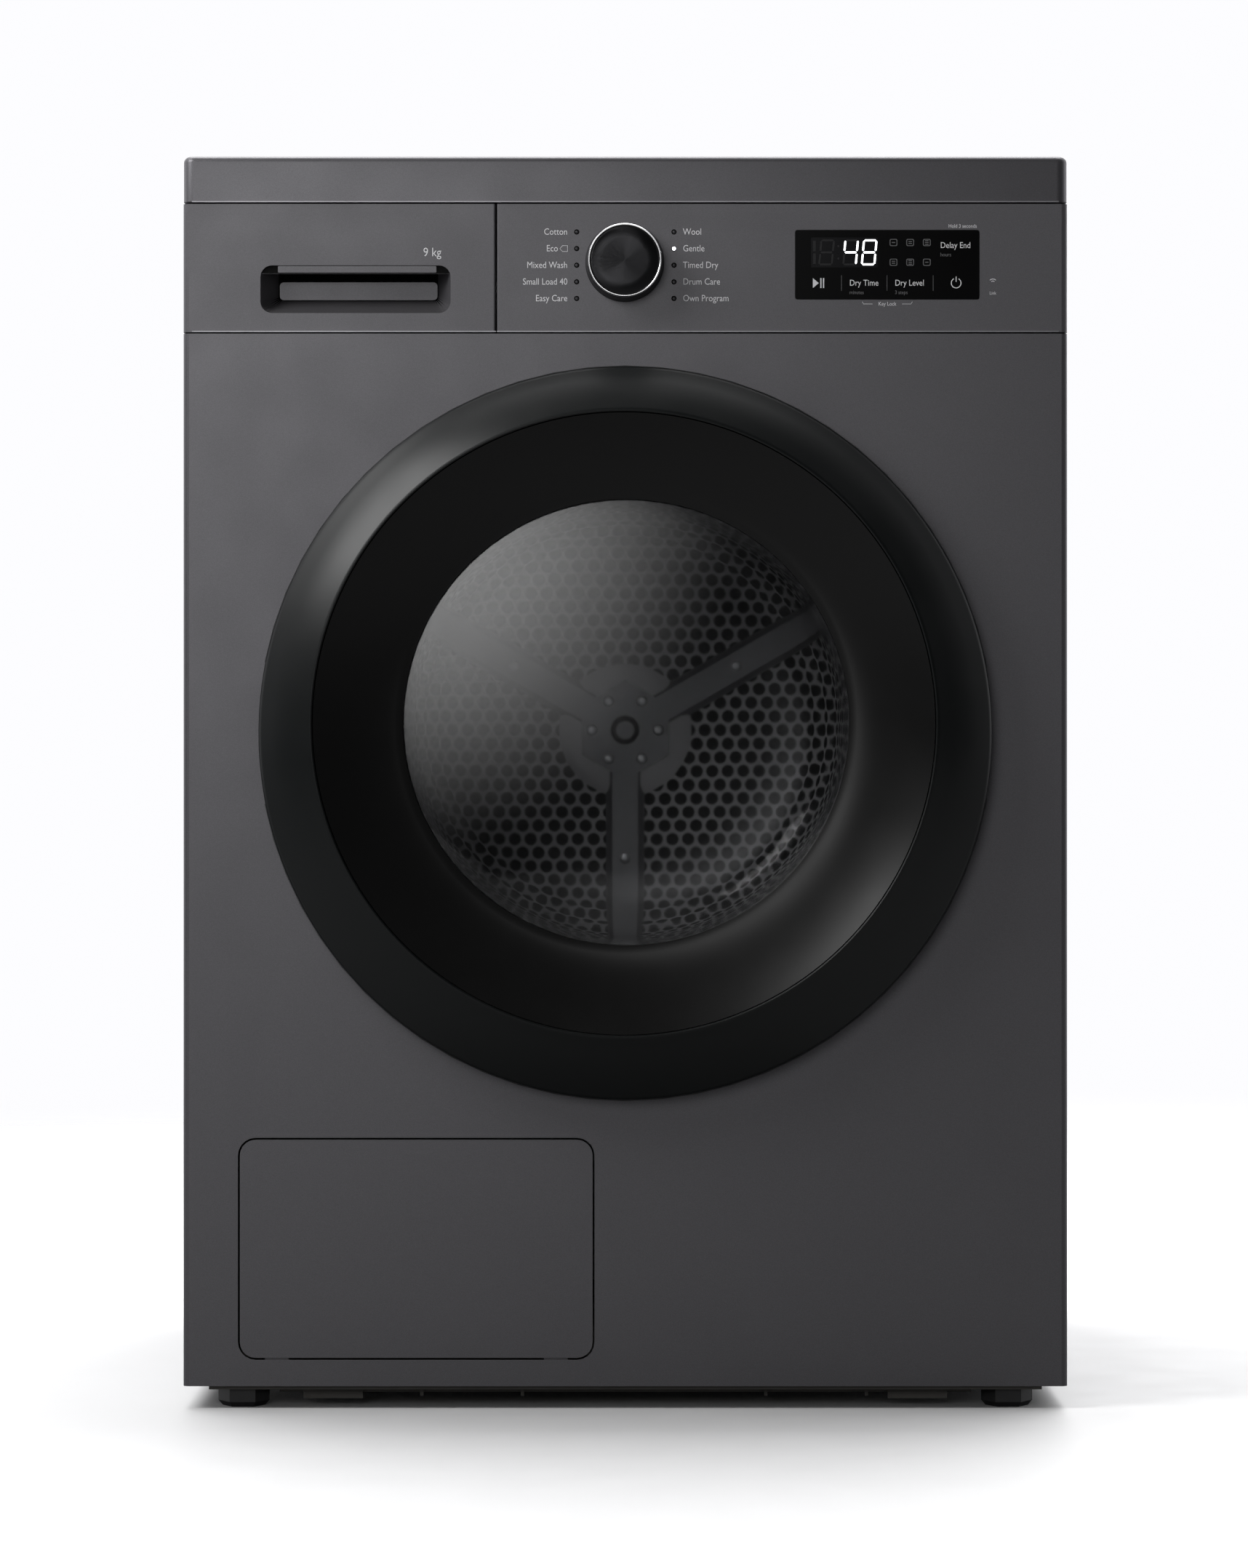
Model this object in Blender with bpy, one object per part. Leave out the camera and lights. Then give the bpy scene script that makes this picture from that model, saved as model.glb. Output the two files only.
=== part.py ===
"""Front-loading heat-pump clothes dryer, built as separate solids.

Metres, +Z up. The front faces -Y. The origin is on the floor under the middle of the machine's box.
Run with: blender --background --python part.py
"""

import math

import bmesh
import bpy
from mathutils import Matrix, Vector

# ---------------------------------------------------------------- driving dimensions
WIDTH = 0.600
HEIGHT = 0.850
DEPTH = 0.690  # over the door and the rear duct cover
DOOR_PROUD = 0.046  # how far the door's crest stands ahead of the front panel
REAR_COVER_DEPTH = 0.0097
GAP = 0.0003  # between pieces that touch
SHEET = 0.001  # steel panels
FOLD = 0.018  # how far the front pieces fold back round the sides
CORNER = 0.004  # radius of the cabinet's outer edges

HALF = WIDTH / 2
FRONT_Y = -DEPTH / 2 + DOOR_PROUD
COVER_Y = DEPTH / 2
REAR_Y = COVER_Y - REAR_COVER_DEPTH
INSIDE_Y = FRONT_Y + SHEET
SIDE_FRONT_Y = FRONT_Y + FOLD + 0.0005

CABINET_BOTTOM = 0.0155
FASCIA_BOTTOM = 0.7305
FASCIA_TOP = 0.8175
WORKTOP_BOTTOM = 0.8185
SEAM = 0.001  # shadow gap between the front pieces
DRAWER_SPLIT_X = -0.0876  # seam between the tank drawer and the control panel
FASCIA_WALL = 0.0025

DRUM_Z = 0.466
DRUM_R = 0.280
DRUM_LIP_R = 0.250
DRUM_FRONT_Y = -0.212
DRUM_REAR_Y = 0.242
DRUM_SHEET = 0.0012
SHAFT_R = 0.010

DOOR_Z = 0.4584  # middle of the door's outer edge
CREST_Z = 0.4645  # the crest and the window sit a little higher
WINDOW_Z = 0.4656
DOOR_R = 0.2475
CREST_R = 0.2105
WINDOW_R = 0.153
CREST_Y = -DEPTH / 2
RING_EDGE_Y = FRONT_Y - 0.0228
FRAME_BACK_Y = FRONT_Y - 0.003
FRAME_FRONT_Y = FRAME_BACK_Y - 0.0037
FRAME_R = 0.249
BOWL_END_Y = -0.2405
OPENING_R = 0.178

HINGE_X = 0.238
HINGE_Y = FRONT_Y - 0.015
HINGE_PIN_R = 0.0022
KNUCKLE_R = 0.0045
KNUCKLE_LOW, KNUCKLE_HIGH = 0.019, 0.031  # above and below the door's middle

LATCH_X = -0.205
POCKET_X = -0.218  # the finger pocket runs from here to the door's left edge
POCKET_HALF = 0.048

FLAP_LEFT, FLAP_RIGHT = -0.2615, -0.0222
FLAP_LOW, FLAP_HIGH = 0.0347, 0.1827
FLAP_CORNER = 0.0107
FLAP_GAP = 0.0013
FLAP_AXIS_Y = FRONT_Y + 0.0006
FLAP_AXIS_Z = FLAP_LOW + 0.002

KNOB_X, KNOB_Z = -0.0004, 0.7777
KNOB_R = 0.0268
KNOB_DEPTH = 0.020
LED_X = 0.033
LED_Z = 0.7759
LED_STEP = 0.01128
DISPLAY_LEFT, DISPLAY_RIGHT = 0.1153, 0.2401
DISPLAY_LOW, DISPLAY_HIGH = 0.7528, 0.7996

GRIP_LEFT, GRIP_RIGHT = -0.2476, -0.1185
GRIP_LOW, GRIP_HIGH = 0.7434, 0.7758
GRIP_CORNER = 0.0078

TANK_LEFT, TANK_RIGHT = -0.292, -0.096
TANK_FRONT, TANK_BACK = -0.266, 0.190
TANK_LOW, TANK_HIGH = 0.741, 0.803
TANK_WALL = 0.0022

TUNNEL_R = 0.176
TUNNEL_REAR_Y = -0.217
FILTER_HALF = 0.108
FILTER_LOW = 0.194
FILTER_FRONT_Y, FILTER_BACK_Y = -0.2365, -0.2190

ROLLER_R = 0.020
ROLLER_ANGLE = math.radians(35)
ROLLER_REACH = DRUM_LIP_R + GAP + ROLLER_R
ROLLER_X = ROLLER_REACH * math.sin(ROLLER_ANGLE)
ROLLER_Z = DRUM_Z - ROLLER_REACH * math.cos(ROLLER_ANGLE)
ROLLER_FRONT_Y, ROLLER_BACK_Y = -0.208, -0.192

BELT_Y0, BELT_Y1 = 0.006, 0.014
BELT_THICK = 0.002
MOTOR_X, MOTOR_Z = 0.150, 0.110
PULLEY_R = 0.0105
IDLER_X, IDLER_Z = 0.0819, 0.1172
IDLER_R = 0.015
IDLER_PIVOT_X, IDLER_PIVOT_Z = 0.105, 0.070

DUCT_LEFT, DUCT_RIGHT = -0.264, -0.0375  # inside the two duct walls
DUCT_FRONT, DUCT_BACK = -0.2485, 0.085
DUCT_TOP = 0.160
DUCT_WALL = 0.0025
BLOWER_X, BLOWER_Z = -0.150, 0.095
BLOWER_FRONT_Y, BLOWER_BACK_Y = 0.092, 0.150
BLOWER_R = 0.060

FOOT_X = 0.2605
FOOT_FRONT_Y, FOOT_REAR_Y = -0.273, 0.296
FOOT_R = 0.0175
FOOT_TALL = 0.0122
STUD_R = 0.005

TRAY_X = 0.283
TRAY_FRONT, TRAY_BACK = -0.2925, 0.325
TRAY_BOTTOM = 0.0126
TRAY_WALL = 0.003

DOOR_STEPS = 64  # flats round the door's circles
DRUM_STEPS = 56


# ---------------------------------------------------------------- materials
def paint(name, rgb, roughness, metallic=0.0):
    """A Principled material in the piece's own colour."""
    material = bpy.data.materials.new(name)
    material.use_nodes = True
    shader = material.node_tree.nodes["Principled BSDF"]
    shader.inputs["Base Color"].default_value = (*rgb, 1.0)
    shader.inputs["Roughness"].default_value = roughness
    shader.inputs["Metallic"].default_value = metallic
    return material


def palette():
    """Every finish on the machine, by name."""
    return {
        "graphite": paint("graphite", (0.088, 0.086, 0.094), 0.38, 0.55),
        "fascia": paint("fascia", (0.088, 0.086, 0.094), 0.40, 0.40),
        "gloss_black": paint("gloss_black", (0.012, 0.012, 0.014), 0.08),
        "dark_plastic": paint("dark_plastic", (0.020, 0.020, 0.021), 0.45),
        "base_plastic": paint("base_plastic", (0.105, 0.100, 0.090), 0.60),
        "grey_plastic": paint("grey_plastic", (0.42, 0.43, 0.44), 0.50),
        "tank_plastic": paint("tank_plastic", (0.62, 0.64, 0.65), 0.35),
        "stainless": paint("stainless", (0.55, 0.55, 0.56), 0.28, 1.0),
        "galvanised": paint("galvanised", (0.48, 0.49, 0.50), 0.42, 1.0),
        "glass": paint("glass", (0.20, 0.20, 0.21), 0.04),
        "rubber": paint("rubber", (0.030, 0.030, 0.030), 0.75),
        "copper": paint("copper", (0.60, 0.27, 0.14), 0.30, 1.0),
        "fins": paint("fins", (0.62, 0.63, 0.65), 0.35, 1.0),
        "worktop_board": paint("worktop_board", (0.088, 0.086, 0.094), 0.42, 0.30),
        "mesh": paint("mesh", (0.55, 0.56, 0.58), 0.70),
    }


# ---------------------------------------------------------------- shape helpers
def slab(low, high):
    """A box from its lowest to its highest corner."""
    low, high = Vector(low), Vector(high)
    shape = bmesh.new()
    place = Matrix.Translation((low + high) / 2) @ Matrix.Diagonal((*(high - low), 1.0))
    bmesh.ops.create_cube(shape, size=1.0, matrix=place)
    return shape


def arc(cx, cy, radius, start, end, steps):
    """Points along a circle from one angle to another, in degrees."""
    turns = [math.radians(start + (end - start) * i / steps) for i in range(steps + 1)]
    return [(cx + radius * math.cos(t), cy + radius * math.sin(t)) for t in turns]


def rounded(left, right, low, high, radius, steps=4):
    """The outline of a rectangle with round corners."""
    return (
        arc(right - radius, low + radius, radius, -90, 0, steps)
        + arc(right - radius, high - radius, radius, 0, 90, steps)
        + arc(left + radius, high - radius, radius, 90, 180, steps)
        + arc(left + radius, low + radius, radius, 180, 270, steps)
    )


AXES = {
    "x": lambda u, v, w: (w, u, v),
    "y": lambda u, v, w: (u, w, v),
    "z": lambda u, v, w: (u, v, w),
}


def prism(outline, axis, start, end):
    """An outline extruded along an axis. Its points are in the other two axes, in alphabetical order."""
    place = AXES[axis]
    shape = bmesh.new()
    near = [shape.verts.new(place(u, v, start)) for u, v in outline]
    far = [shape.verts.new(place(u, v, end)) for u, v in outline]
    shape.faces.new(near)
    shape.faces.new(far)
    for i in range(len(near)):
        j = (i + 1) % len(near)
        shape.faces.new((near[i], near[j], far[j], far[i]))
    return shape


def rings(stations, steps, closed=True):
    """Circles facing along Y, joined in order. A station is (radius, y, x middle, z middle)."""
    shape = bmesh.new()
    rows = []
    for radius, y, x_mid, z_mid in stations:
        if radius == 0:
            rows.append([shape.verts.new((x_mid, y, z_mid))])
            continue
        turns = [2 * math.pi * i / steps for i in range(steps)]
        points = [(x_mid + radius * math.cos(t), y, z_mid + radius * math.sin(t)) for t in turns]
        rows.append([shape.verts.new(point) for point in points])
    pairs = list(zip(rows, rows[1:]))
    if closed:
        pairs.append((rows[-1], rows[0]))
    for a, b in pairs:
        for i in range(steps):
            j = (i + 1) % steps
            corners = [a[i % len(a)], a[j % len(a)], b[j % len(b)], b[i % len(b)]]
            shape.faces.new(list(dict.fromkeys(corners)))
    return shape


def turned(profile, x_mid, z_mid, steps, closed=True):
    """A profile of (radius, y) points turned round an axis along Y."""
    return rings([(r, y, x_mid, z_mid) for r, y in profile], steps, closed)


def disc(radius, y0, y1, x_mid, z_mid, steps=24):
    """A solid round bar along Y."""
    return turned([(0, y0), (radius, y0), (radius, y1), (0, y1)], x_mid, z_mid, steps, closed=False)


def upright(profile, x_mid, y_mid, steps):
    """A profile of (radius, z) points turned round a vertical axis."""
    shape = turned(profile, 0, 0, steps, closed=False)
    place = Matrix.Translation((x_mid, y_mid, 0)) @ Matrix.Rotation(math.radians(90), 4, "X")
    bmesh.ops.transform(shape, matrix=place, verts=shape.verts)
    return shape


def rod(radius, z0, z1, x_mid, y_mid, steps=16):
    """A solid round bar along Z."""
    return upright([(0, z0), (radius, z0), (radius, z1), (0, z1)], x_mid, y_mid, steps)


def smooth_path(points, per_span):
    """Points on the Catmull-Rom curve through the given points."""
    ends = [2 * points[0] - points[1], *points, 2 * points[-1] - points[-2]]
    path = []
    for a, b, c, d in zip(ends, ends[1:], ends[2:], ends[3:]):
        for i in range(per_span):
            t = i / per_span
            bend = (2 * a - 5 * b + 4 * c - d) * t * t + (3 * b - a - 3 * c + d) * t**3
            path.append(b + 0.5 * ((c - a) * t + bend))
    path.append(points[-1])
    return path


def tube(points, radius, sides=8, per_span=5):
    """A round tube along a smooth route."""
    path = smooth_path([Vector(p) for p in points], per_span)
    shape = bmesh.new()
    side = None
    rows = []
    for i, point in enumerate(path):
        along = (path[min(i + 1, len(path) - 1)] - path[max(i - 1, 0)]).normalized()
        side = (side or along.orthogonal()) - along * (side or along.orthogonal()).dot(along)
        side.normalize()
        other = along.cross(side)
        turns = [2 * math.pi * k / sides for k in range(sides)]
        rows.append([shape.verts.new(point + radius * (side * math.cos(t) + other * math.sin(t))) for t in turns])
    for a, b in zip(rows, rows[1:]):
        for k in range(sides):
            m = (k + 1) % sides
            shape.faces.new((a[k], a[m], b[m], b[k]))
    shape.faces.new(rows[0])
    shape.faces.new(rows[-1])
    return shape


def together(*shapes):
    """Several separate closed shapes in one mesh, for a cutter."""
    whole = bmesh.new()
    for shape in shapes:
        piece = bpy.data.meshes.new("piece")
        shape.to_mesh(piece)
        whole.from_mesh(piece)
        bpy.data.meshes.remove(piece)
    return whole


def soften(shape, radius, steps, wanted):
    """Rounds the edges for which wanted(first point, second point) holds."""
    edges = [e for e in shape.edges if wanted(e.verts[0].co, e.verts[1].co)]
    bmesh.ops.bevel(shape, geom=edges, offset=radius, segments=steps, profile=0.5, affect="EDGES")
    return shape


def solid(name, shape, material, pivot=None):
    """Makes a named object. Its origin is its joint's point, or its own middle if it doesn't move."""
    bmesh.ops.recalc_face_normals(shape, faces=shape.faces)
    if pivot is None:
        lows = [min(v.co[k] for v in shape.verts) for k in range(3)]
        highs = [max(v.co[k] for v in shape.verts) for k in range(3)]
        pivot = (Vector(lows) + Vector(highs)) / 2
    bmesh.ops.translate(shape, vec=-Vector(pivot), verts=shape.verts)
    mesh = bpy.data.meshes.new(name)
    shape.to_mesh(mesh)
    shape.free()
    mesh.shade_smooth()
    mesh.set_sharp_from_angle(angle=math.radians(32))
    made = bpy.data.objects.new(name, mesh)
    made.location = pivot
    bpy.context.scene.collection.objects.link(made)
    if material:
        mesh.materials.append(material)
    return made


def tool(piece, shape, operation):
    """Adds or removes a shape with a Boolean. The shape stays as a hidden helper."""
    helper = solid(f"{piece.name}.tool{len(piece.modifiers)}", shape, None)
    helper.hide_render = True
    helper.display_type = "WIRE"
    change = piece.modifiers.new(operation.lower(), "BOOLEAN")
    change.operation = operation
    change.solver = "EXACT"
    change.object = helper
    return piece


def cut(piece, *shapes):
    for shape in shapes:
        tool(piece, shape, "DIFFERENCE")
    return piece


def join(piece, *shapes):
    for shape in shapes:
        tool(piece, shape, "UNION")
    return piece


# ---------------------------------------------------------------- cabinet
def wrap(left, left_radius, right, right_radius, wall):
    """The plan of a front piece that folds back at both of its ends."""
    back, face = FRONT_Y + FOLD, FRONT_Y
    outer = [(left, back)]
    outer += arc(left + left_radius, face + left_radius, left_radius, 180, 270, 4)
    outer += arc(right - right_radius, face + right_radius, right_radius, 270, 360, 4)
    outer += [(right, back), (right - wall, back)]
    inner_left, inner_right = max(left_radius - wall, 0.0004), max(right_radius - wall, 0.0004)
    a, b, face = left + wall, right - wall, face + wall
    outer += arc(b - inner_right, face + inner_right, inner_right, 360, 270, 4)
    outer += arc(a + inner_left, face + inner_left, inner_left, 270, 180, 4)
    return outer + [(a, back)]


def base_tray(m):
    floor = TRAY_BOTTOM + TRAY_WALL
    low, high = (-TRAY_X, TRAY_FRONT, TRAY_BOTTOM), (TRAY_X, TRAY_BACK, 0.030)
    piece = solid("base_tray", slab(low, high), m["base_plastic"])
    inner = slab((low[0] + TRAY_WALL, low[1] + TRAY_WALL, floor), (high[0] - TRAY_WALL, high[1] - TRAY_WALL, 0.1))
    cut(piece, inner)
    plinth = [slab((-0.236, TRAY_FRONT + 0.016, 0.0091), (0.236, TRAY_FRONT + 0.030, floor))]
    for x in (-0.1992, 0.1991):
        plinth.append(slab((x - 0.0202, TRAY_FRONT + 0.012, 0.0052), (x + 0.0202, TRAY_FRONT + 0.014, floor)))
    for x in (-0.1388, -0.0702, 0.0957, 0.1644):
        plinth.append(slab((x - 0.0011, TRAY_FRONT + 0.0125, 0.0069), (x + 0.0011, TRAY_FRONT + 0.0147, floor)))
    join(piece, together(*plinth))
    bosses, bores = [], []
    for x, y in feet_places():
        bosses.append(rod(0.012, floor - 0.001, 0.040, x, y))
        bores.append(rod(STUD_R + 0.0004, 0.005, 0.060, x, y, 12))
    join(piece, together(*bosses))
    cut(piece, together(*bores))
    return piece


def front_panel(m):
    outline = wrap(-HALF, CORNER, HALF, CORNER, SHEET)
    piece = solid("front_panel", prism(outline, "z", CABINET_BOTTOM, FASCIA_BOTTOM - SEAM), m["graphite"])
    around = rounded(
        FLAP_LEFT - FLAP_GAP,
        FLAP_RIGHT + FLAP_GAP,
        FLAP_LOW - FLAP_GAP,
        FLAP_HIGH + FLAP_GAP,
        FLAP_CORNER + FLAP_GAP,
        5,
    )
    return cut(
        piece,
        disc(OPENING_R, FRONT_Y - 0.01, FRONT_Y + 0.01, 0, WINDOW_Z, DOOR_STEPS),
        prism(around, "y", FRONT_Y - 0.01, FRONT_Y + 0.01),
        slab((LATCH_X - 0.006, FRONT_Y - 0.01, DOOR_Z - 0.012), (LATCH_X + 0.006, FRONT_Y + 0.01, DOOR_Z + 0.012)),
    )


def side_panel(name, side, m):
    back = REAR_Y - SHEET - GAP
    outline = [
        (side * HALF, SIDE_FRONT_Y),
        (side * HALF, back),
        (side * (HALF - 0.015), back),
        (side * (HALF - 0.015), back - SHEET),
        (side * (HALF - SHEET), back - SHEET),
        (side * (HALF - SHEET), SIDE_FRONT_Y),
    ]
    piece = solid(name, prism(outline, "z", CABINET_BOTTOM, WORKTOP_BOTTOM - GAP), m["graphite"])
    area = (SIDE_FRONT_Y + 0.075, back - 0.075, 0.090, 0.735, 0.060, 6)
    wide = (area[0] - 0.004, area[1] + 0.004, area[2] - 0.004, area[3] + 0.004, 0.064, 6)
    outside = loft(rounded(*wide), side * (HALF + 0.0001), rounded(*area), side * (HALF - 0.003), "x")
    behind = loft(rounded(*wide), side * (HALF - SHEET), rounded(*area), side * (HALF - SHEET - 0.003), "x")
    join(piece, behind)
    return cut(piece, outside)


def loft(first, start, second, end, axis):
    """A solid between two outlines with the same number of points."""
    place = AXES[axis]
    shape = bmesh.new()
    near = [shape.verts.new(place(u, v, start)) for u, v in first]
    far = [shape.verts.new(place(u, v, end)) for u, v in second]
    shape.faces.new(near)
    shape.faces.new(far)
    for i in range(len(near)):
        j = (i + 1) % len(near)
        shape.faces.new((near[i], near[j], far[j], far[i]))
    return shape


def rear_panel(m):
    low, high = (-HALF, REAR_Y - SHEET, CABINET_BOTTOM), (HALF, REAR_Y, WORKTOP_BOTTOM - GAP)
    piece = solid("rear_panel", slab(low, high), m["galvanised"])
    ports = []
    for k in range(6):
        middle = 30 + 60 * k
        outline = arc(0, DRUM_Z, 0.205, middle - 24, middle + 24, 8) + arc(0, DRUM_Z, 0.075, middle + 18, middle - 18, 5)
        ports.append(prism(outline, "y", REAR_Y - 0.01, REAR_Y + 0.01))
    ports.append(slab((-0.230, REAR_Y - 0.01, 0.101), (-0.193, REAR_Y + 0.01, 0.144)))
    for k in range(9):
        slot = rounded(0.095, 0.205, 0.110 + 0.014 * k, 0.116 + 0.014 * k, 0.0029, 2)
        ports.append(prism(slot, "y", REAR_Y - 0.01, REAR_Y + 0.01))
    ports.append(disc(0.0095, REAR_Y - 0.01, REAR_Y + 0.01, 0.255, 0.075, 20))
    return cut(piece, together(*ports))


def rear_duct_outline(inset):
    radius, left, right, low = 0.235 - inset, -0.235 + inset, -0.065 - inset, 0.045 + inset
    meet = math.degrees(math.atan2(-math.sqrt(radius**2 - right**2), right))
    outline = arc(left + 0.03, low + 0.03, 0.03, 180, 270, 4) + arc(right - 0.03, low + 0.03, 0.03, 270, 360, 4)
    return outline + arc(0, DRUM_Z, radius, meet, 180, 36)


def rear_duct_cover(m):
    outline = rear_duct_outline(0)
    shape = prism(outline, "y", REAR_Y + GAP, COVER_Y)
    soften(shape, 0.003, 2, lambda a, b: a.y > COVER_Y - 1e-6 and b.y > COVER_Y - 1e-6)
    piece = solid("rear_duct_cover", shape, m["galvanised"])
    return cut(piece, prism(rear_duct_outline(0.004), "y", REAR_Y - 0.01, COVER_Y - 0.0015))


def worktop(m):
    shape = slab((-HALF, FRONT_Y, WORKTOP_BOTTOM), (HALF, REAR_Y, HEIGHT))
    soften(shape, CORNER, 4, lambda a, b: abs(a.z - b.z) > 0.01)
    soften(shape, 0.003, 3, lambda a, b: a.z > HEIGHT - 1e-6 and b.z > HEIGHT - 1e-6)
    return solid("worktop", shape, m["worktop_board"])


def led_heights():
    return [LED_Z + LED_STEP * (k - 2) for k in range(5)]


def fascia(name, left, left_radius, right, right_radius, m):
    outline = wrap(left, left_radius, right, right_radius, FASCIA_WALL)
    piece = solid(name, prism(outline, "z", FASCIA_BOTTOM, FASCIA_TOP), m["fascia"])
    inner_left, inner_right = left + FASCIA_WALL / 2, right - FASCIA_WALL / 2
    face, back = FRONT_Y + FASCIA_WALL / 2, FRONT_Y + FOLD
    ledges = [
        slab((inner_left, face, FASCIA_BOTTOM), (inner_right, back, FASCIA_BOTTOM + 0.002)),
        slab((inner_left, face, FASCIA_TOP - 0.002), (inner_right, back, FASCIA_TOP)),
    ]
    return join(piece, together(*ledges))


def control_panel(m):
    piece = fascia("control_panel", DRAWER_SPLIT_X + SEAM / 2, 0.0012, HALF, CORNER, m)
    window = rounded(
        DISPLAY_LEFT - GAP, DISPLAY_RIGHT + GAP, DISPLAY_LOW - GAP, DISPLAY_HIGH + GAP, 0.0018, 3
    )
    holes = [prism(window, "y", FRONT_Y - 0.01, FRONT_Y + 0.0018)]
    holes.append(disc(0.0052, FRONT_Y - 0.01, FRONT_Y + 0.01, KNOB_X, KNOB_Z, 20))
    for z in led_heights():
        for x in (-LED_X, LED_X):
            holes.append(disc(0.0018, FRONT_Y - 0.01, FRONT_Y + 0.01, x, z, 12))
    return cut(piece, together(*holes))


def display_window(m):
    outline = rounded(DISPLAY_LEFT, DISPLAY_RIGHT, DISPLAY_LOW, DISPLAY_HIGH, 0.0015, 3)
    return solid("display_window", prism(outline, "y", FRONT_Y, FRONT_Y + 0.0015), m["gloss_black"])


def indicator_lights(name, x, m):
    back = FRONT_Y + FASCIA_WALL + GAP
    low, high = led_heights()[0] - 0.004, led_heights()[-1] + 0.004
    piece = solid(name, slab((x - 0.004, back, low), (x + 0.004, back + 0.003, high)), m["mesh"])
    pins = [disc(0.0015, FRONT_Y + 0.0001, back + 0.001, x, z, 12) for z in led_heights()]
    return join(piece, together(*pins))


def front_bulkhead(m):
    rear, face = TUNNEL_REAR_Y, FILTER_BACK_Y + GAP
    plate = rounded(-0.288, 0.288, 0.172, 0.729, 0.02, 4)
    piece = solid("front_bulkhead", prism(plate, "y", face, rear), m["grey_plastic"])
    front = FILTER_FRONT_Y - 0.001
    across = FILTER_HALF + 0.0015
    join(
        piece,
        slab((-across - 0.002, front - 0.002, 0.1635), (across + 0.002, face + 0.0008, 0.345)),
        disc(TUNNEL_R + 0.0025, INSIDE_Y + GAP, rear - 0.0004, 0, WINDOW_Z, 64),
    )
    cut(
        piece,
        disc(TUNNEL_R, -0.4, rear + 0.01, 0, WINDOW_Z, 64),
        together(
            slab((-across, front, 0.1665), (across, face + 0.0003, 0.350)),
            slab((1.5 * DUCT_RIGHT - across, front + 0.001, 0.150), (DUCT_RIGHT - 0.003, face, 0.170)),
        ),
    )
    axles = [disc(0.004, face + 0.0008, ROLLER_BACK_Y + 0.0015, x, ROLLER_Z, 14) for x in (-ROLLER_X, ROLLER_X)]
    return join(piece, together(*axles))


def drum_front_seal(m):
    front, back = TUNNEL_REAR_Y + GAP, DRUM_FRONT_Y - GAP
    profile = [(0.2350, front), (0.2515, front), (0.2515, back), (0.2350, back)]
    return solid("drum_front_seal", turned(profile, 0, DRUM_Z, DRUM_STEPS), m["rubber"])


def rear_bearing(m):
    back = REAR_Y - SHEET - GAP
    bore = SHAFT_R + 0.0004
    profile = [(bore, 0.262), (0.022, 0.262), (0.025, 0.266), (0.030, 0.322), (0.050, 0.330), (0.050, back), (bore, back)]
    return solid("rear_bearing", turned(profile, 0, DRUM_Z, 24), m["galvanised"])


def front_crossbar(m):
    low, high = 0.700, 0.7275
    front, back, end = INSIDE_Y + GAP, -0.2650, HALF - CORNER - 0.0015
    outline = [
        (front, low),
        (front + SHEET, low),
        (front + SHEET, high - SHEET),
        (back, high - SHEET),
        (back, high),
        (front, high),
    ]
    return solid("front_crossbar", prism(outline, "x", -end, end), m["galvanised"])


def tank_channel(m):
    left, right = TANK_LEFT - 0.0015, TANK_RIGHT + 0.0015
    floor, high = TANK_LOW - 0.002, 0.790
    outline = [
        (left - 0.002, floor - 0.0025),
        (right + 0.002, floor - 0.0025),
        (right + 0.002, high),
        (right, high),
        (right, floor),
        (left, floor),
        (left, high),
        (left - 0.002, high),
    ]
    return solid("tank_channel", prism(outline, "y", TANK_FRONT + 0.0025, TANK_BACK + 0.008), m["grey_plastic"])


def air_duct(m):
    floor = TRAY_BOTTOM + TRAY_WALL + GAP
    left, right = DUCT_LEFT - DUCT_WALL, DUCT_RIGHT + DUCT_WALL
    piece = solid(
        "air_duct",
        slab((left, DUCT_FRONT, floor), (right, DUCT_BACK + DUCT_WALL, DUCT_TOP + DUCT_WALL)),
        m["grey_plastic"],
    )
    out_low, out_high = (-0.2345, DUCT_BACK, 0.0965), (-0.1885, REAR_Y - SHEET - GAP, 0.1485)
    join(
        piece,
        disc(BLOWER_R + 0.006, DUCT_BACK, BLOWER_BACK_Y + 0.006, BLOWER_X, BLOWER_Z, 40),
        slab(out_low, out_high),
    )
    cut(
        piece,
        slab((DUCT_LEFT, DUCT_FRONT - 0.01, 0.0), (DUCT_RIGHT, DUCT_BACK, DUCT_TOP)),
        disc(0.040, DUCT_BACK - 0.01, DUCT_BACK + 0.01, BLOWER_X, BLOWER_Z, 32),
        disc(BLOWER_R + 0.003, BLOWER_FRONT_Y - 0.002, BLOWER_BACK_Y + 0.003, BLOWER_X, BLOWER_Z, 40),
        slab((-0.232, BLOWER_FRONT_Y + 0.002, 0.099), (-0.191, REAR_Y + 0.01, 0.146)),
        disc(0.0075, BLOWER_BACK_Y - 0.01, BLOWER_BACK_Y + 0.02, BLOWER_X, BLOWER_Z, 16),
        slab((-FILTER_HALF - 0.001, -0.2370, 0.150), (DUCT_RIGHT - 0.003, -0.2195, 0.170)),
    )
    return piece


def heat_exchanger(name, front, back, m):
    """A finned block. The fins stand across the duct, joined along the foot."""
    low, high = TRAY_BOTTOM + TRAY_WALL + 0.006, DUCT_TOP - 0.003
    left, right = DUCT_LEFT + 0.003, DUCT_RIGHT - 0.003
    count = 26
    pitch = (right - left) / count
    outline = [(left, low)]
    tops = []
    for k in range(count):
        x = left + pitch * k
        tops += [(x, high), (x + pitch * 0.5, high), (x + pitch * 0.5, low + 0.008), (x + pitch, low + 0.008)]
    tops += [(right, low + 0.008), (right, low)]
    tops.pop(-3)
    outline += tops
    return solid(name, prism(outline, "y", front, back), m["fins"])


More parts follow.
